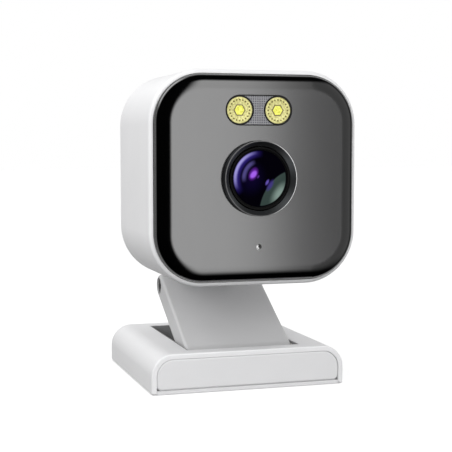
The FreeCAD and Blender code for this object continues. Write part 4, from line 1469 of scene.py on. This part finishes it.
@dataclass
class Floodlights(SubAssembly):
    """The pill-shaped window with its mesh insert and the two yellow lights."""

    body: Body = Body.HEAD
    frame_line: float = 0.28 * MM
    dots: int = 20
    dot_ring: float = 2.95 * MM
    dot_size: float = 0.24 * MM
    disc_radius: float = 3.72 * MM
    ring_radius: float = 4.22 * MM
    core_reach: float = 1.5 * MM
    core_drop: float = 0.26 * MM
    hex_rim: float = 0.3 * MM
    hex_drop: float = 0.34 * MM
    hex_thick: float = 0.3 * MM
    hex_taper: float = 0.94
    insert_drop: float = 0.06 * MM
    frame_proud: float = 0.03 * MM
    hole_inset: float = 0.1 * MM
    deep: float = 1.0 * MM
    dot_drop: float = 0.10 * MM
    dot_flat: float = 0.4
    pill_facets: int = 20
    ring_facets: int = 64

    def lights(self) -> list[Vector]:
        """The middles of the two lights.

        Returns:
            The left and the right one, on the front of the optics.
        """
        low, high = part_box("led_optics")
        inset = (high.z - low.z) / 2
        height = (low.z + high.z) / 2
        return [Vector((low.x + inset, low.y, height)), Vector((high.x - inset, low.y, height))]

    def build(self) -> None:
        """Model the window's frame and insert, the rings, optics, dots and cores."""
        low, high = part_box("led_window")
        middle = (low + high) / 2
        half_height = (high.z - low.z) / 2
        face = low.y
        width, height = high.x - low.x - 2 * self.frame_line, 2 * (half_height - self.frame_line)
        insert = slab(width, height, height / 2, face + self.insert_drop, high.y, middle, self.pill_facets)
        holes = [drill(self.ring_radius - self.hole_inset, -MM, 3 * MM, Vector((spot.x, face, spot.z)))
                 for spot in self.lights()]
        self.piece("led_mesh_insert", carved(insert, holes), MESH_INSERT, "window_mesh", ["led_window"])
        outline = slab(high.x - low.x, 2 * half_height, half_height, face - self.frame_proud, high.y, middle,
                       self.pill_facets)
        inside = slab(width, height, height / 2, face - MM, high.y + MM, middle, self.pill_facets)
        self.piece("led_window_frame", carved(outline, [inside]), BLACK_PLASTIC, "ring_black")
        self.build_lights(face)
        for node, finish in (("led_emitters", LED_CORE), ("led_board", WHITE_BOARD), ("led_heat_sink", ALUMINIUM)):
            self.dress(node, finish)

    def hexagon(self, centre: Vector, reach: float, drop: float) -> BMesh:
        """A low six-sided boss about a light's middle.

        Args:
            centre: The light's middle.
            reach: From its middle to a corner at its foot.
            drop: How far its face lies behind the middle.

        Returns:
            The new bmesh.
        """
        bm = bmesh.new()
        place = Matrix.Translation(centre + Vector((0, drop + self.hex_thick / 2, 0)))
        matrix = place @ Matrix.Rotation(math.pi / 2, 4, "X") @ Matrix.Rotation(math.pi / 6, 4, "Z")
        bmesh.ops.create_cone(bm, cap_ends=True, segments=6, radius1=reach * self.hex_taper, radius2=reach,
                              depth=self.hex_thick, matrix=matrix)
        bmesh.ops.recalc_face_normals(bm, faces=bm.faces)
        return bm

    def dot(self, centre: Vector, angle: float) -> BMesh:
        """One of the flattened beads around a light.

        Args:
            centre: The light's middle.
            angle: Its bearing from there.

        Returns:
            The new bmesh.
        """
        place = centre + Vector((self.dot_ring * math.cos(angle), self.dot_drop, self.dot_ring * math.sin(angle)))
        bm = bmesh.new()
        bmesh.ops.create_icosphere(bm, subdivisions=2, radius=self.dot_size,
                                   matrix=Matrix.Translation(place) @ Matrix.Diagonal((1, self.dot_flat, 1, 1)))
        return bm

    def build_lights(self, face: float) -> None:
        """Model both lights as joined pieces, one for each finish.

        Args:
            face: Y of the window's face.
        """
        ring_radius, disc_radius, deep = self.ring_radius, self.disc_radius, self.deep
        ring = [(ring_radius, deep), (ring_radius, 0.0), (ring_radius - 0.12 * MM, -0.08 * MM),
                (disc_radius + 0.1 * MM, -0.04 * MM), (disc_radius, 0.12 * MM), (disc_radius, deep)]
        dish = [(0.0, deep), (disc_radius - TINY, deep), (disc_radius - TINY, 0.16 * MM),
                (disc_radius - 0.3 * MM, 0.06 * MM), (3.1 * MM, 0.1 * MM), (2.0 * MM, 0.34 * MM),
                (1.75 * MM, 0.40 * MM), (0.0, 0.40 * MM)]
        rings, discs, cores, rims, dots = [], [], [], [], []
        for spot in self.lights():
            centre = Vector((spot.x, face, spot.z))
            rings.append(turned(ring, centre, steps=self.ring_facets))
            discs.append(turned(dish, centre, steps=self.ring_facets))
            cores.append(self.hexagon(centre, self.core_reach, self.core_drop))
            rims.append(self.hexagon(centre, self.core_reach + self.hex_rim, self.hex_drop))
            dots += [self.dot(centre, 2 * math.pi * index / self.dots) for index in range(self.dots)]
        self.piece("led_black_rings", joined(rings), BLACK_PLASTIC, "ring_black", ["led_rings"])
        self.piece("led_discs", joined(discs), LED_OPTIC, "led_yellow", ["led_optics"])
        self.piece("led_cores", joined(cores), LED_CORE, "emitter_yellow")
        self.piece("led_hex_rims", joined(rims), LED_RIM, "emitter_yellow")
        self.piece("led_dots", joined(dots), LED_DOT, "led_yellow", sharp=math.pi)


@dataclass
class Works(SubAssembly):
    """The boards and fittings inside the head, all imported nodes."""

    body: Body = Body.HEAD

    def build(self) -> None:
        """Dress every inner node."""
        for node, finish in (("main_board", GREEN_BOARD), ("board_screws", STEEL_PIN), ("board_posts", BRASS_POST),
                             ("processor", CHIP_RESIN), ("memory_chips", CHIP_RESIN), ("thermal_pad", THERMAL_PAD),
                             ("heat_spreader", ALUMINIUM), ("radio_shield", TIN_CAN), ("wifi_antenna", COPPER_FOIL),
                             ("io_board", GREEN_BOARD), ("button_switch", CHIP_RESIN), ("speaker", CHIP_RESIN),
                             ("speaker_gasket", SEAL_RUBBER)):
            self.dress(node, finish)


@dataclass
class SetupButton(SubAssembly):
    """The small round button in the rear cover."""

    body: Body = Body.BUTTON

    def build(self) -> None:
        """Dress the button."""
        self.dress("setup_button", WHITE_CAP)


# ---------------------------------------------------------------- studio


@dataclass(frozen=True)
class Lamp:
    """A soft box: where it stands, its width and height, its power in watts, and what it looks at."""

    name: str
    place: tuple[float, float, float]
    size: tuple[float, float]
    power: float
    target: Optional[tuple[float, float, float]] = None


@dataclass
class Studio:
    """Camera, floor, world and lights; a pair of numbers says where a brightness starts and ends."""

    camera_place: tuple[float, float, float] = (-0.10389, -0.33993, 0.07159)
    azimuth: float = math.radians(-17.249)
    dip: float = math.radians(4.064)
    lens_mm: float = 89.75
    sensor_mm: float = 36.0
    clip_start: float = 0.01
    floor_size: float = 6.0
    floor_white: Colour = (0.93, 0.93, 0.93)
    floor_glow: float = 0.35
    sky_level: float = 0.86
    sky_slope: float = -0.20
    sky_below: float = 4.0
    sky_lean: float = -0.45
    box_left: Band = (0.0, 0.24)
    box_right: Band = (0.368, 0.31)
    box_top: Band = (0.82, 0.66)
    box_foot: Band = (-0.75, -0.32)
    box_bright: float = 3.2
    room_front: Band = (0.1, -0.2)
    room_bright: float = 0.58
    back_start: Band = (0.2, 0.6)
    back_bright: float = 0.72
    rim_left: Band = (0.0, -0.25)
    rim_top: Band = (0.3, 0.5)
    rim_back: Band = (0.15, 0.35)
    rim_bright: float = 2.0
    lamps: tuple[Lamp, ...] = (
        Lamp("key_left", (-0.20, -0.04, 0.20), (0.12, 0.12), 0.19),
        Lamp("low_fill", (-0.05, -0.6, 0.01), (0.3, 0.08), 1.05, (0.0, 0.0, 0.02)),
        Lamp("left_fill", (-0.43, -0.41, 0.20), (0.2, 0.2), 1.2))

    def build(self) -> None:
        """Set up the whole studio."""
        self.build_camera()
        self.build_floor()
        self.build_world()
        self.build_lights()
        settings = bpy.context.scene.view_settings
        settings.view_transform = "Standard"

    def build_camera(self) -> None:
        """Place the camera at the viewing angle."""
        data = bpy.data.cameras.new("main_camera")
        data.lens = self.lens_mm
        data.sensor_width = self.sensor_mm
        data.clip_start = self.clip_start
        camera = bpy.data.objects.new("main_camera", data)
        bpy.context.scene.collection.objects.link(camera)
        turn_z = Matrix.Rotation(self.azimuth, 4, "Z")
        turn_x = Matrix.Rotation(math.pi / 2 - self.dip, 4, "X")
        camera.matrix_world = Matrix.Translation(self.camera_place) @ turn_z @ turn_x
        bpy.context.scene.camera = camera

    def build_floor(self) -> None:
        """Lay a pale floor."""
        bm = bmesh.new()
        bmesh.ops.create_grid(bm, x_segments=1, y_segments=1, size=self.floor_size / 2)
        floor = as_object("studio_floor", bm)
        graph = Graph("floor_finish")
        graph.set(Base_Color=self.floor_white, Roughness=0.9, Emission_Color=(1.0, 1.0, 1.0),
                  Emission_Strength=self.floor_glow, Specular_IOR_Level=0.1)
        floor.data.materials.append(graph.material)
        floor.visible_glossy = False
        floor.visible_diffuse = False
        floor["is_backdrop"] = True

    def build_world(self) -> None:
        """White for the camera, a graded sky for matt surfaces, and a tall soft box in a room for glossy ones."""
        world = bpy.data.worlds.new("studio")
        bpy.context.scene.world = world
        world.use_nodes = True
        sky = Graph.of_tree(world.node_tree)
        x, y, z = sky.axes(sky.value("ShaderNodeTexCoord", output="Generated"))
        matt = z * self.sky_slope + z.at_most(0.0) * self.sky_below + self.sky_level - x * self.sky_lean
        matt = matt.at_least(0.0)
        room = x.step(*self.box_left) * z.step(*self.box_top) * z.step(*self.box_foot)
        box = room * x.step(*self.box_right)
        glossy = (box * self.box_bright + room * self.room_bright) * y.step(*self.room_front)
        glossy = glossy + y.step(*self.back_start) * self.back_bright
        rim = x.step(*self.rim_left) * z.step(*self.rim_top) * y.step(*self.rim_back)
        glossy = glossy + rim * self.rim_bright
        ray = sky.node("ShaderNodeLightPath")
        seen, mirrored = Value(sky, ray.outputs["Is Camera Ray"]), Value(sky, ray.outputs["Is Glossy Ray"])
        unseen = matt * (1.0 - mirrored) + glossy * mirrored
        sky.feed(world.node_tree.nodes["Background"].inputs["Strength"], unseen * (1.0 - seen) + seen)
        sky.feed(world.node_tree.nodes["Background"].inputs["Color"], (1.0, 1.0, 1.0))

    def area(self, lamp: Lamp, middle: Vector) -> None:
        """Add a soft box.

        Args:
            lamp: Its sizes and place.
            middle: What it looks at if it has no target of its own.
        """
        data = bpy.data.lights.new(lamp.name, "AREA")
        data.shape = "RECTANGLE"
        data.size, data.size_y = lamp.size
        data.energy = lamp.power
        item = bpy.data.objects.new(lamp.name, data)
        bpy.context.scene.collection.objects.link(item)
        place = Vector(lamp.place)
        target = middle if lamp.target is None else Vector(lamp.target)
        item.matrix_world = Matrix.Translation(place) @ (target - place).to_track_quat("-Z", "Y").to_matrix().to_4x4()
        item.visible_camera = False
        item.visible_glossy = False

    def build_lights(self) -> None:
        """A soft key from the upper left, a low fill from the front, and a fill from the left."""
        low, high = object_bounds()
        middle = (Vector(low) + Vector(high)) / 2
        for lamp in self.lamps:
            self.area(lamp, middle)


def main() -> None:
    """Build the studio and every sub-assembly."""
    logging.basicConfig(level=logging.INFO, format="%(message)s")
    Studio().build()
    assemblies = [Base(), Arm(), Housing(), FrontPanel(), LensUnit(), Floodlights(), Works(), SetupButton()]
    for assembly in assemblies:
        assembly.build()
        LOG.info("%s: %d new pieces", type(assembly).__name__, assembly.count)


if __name__ == "__main__":
    main()
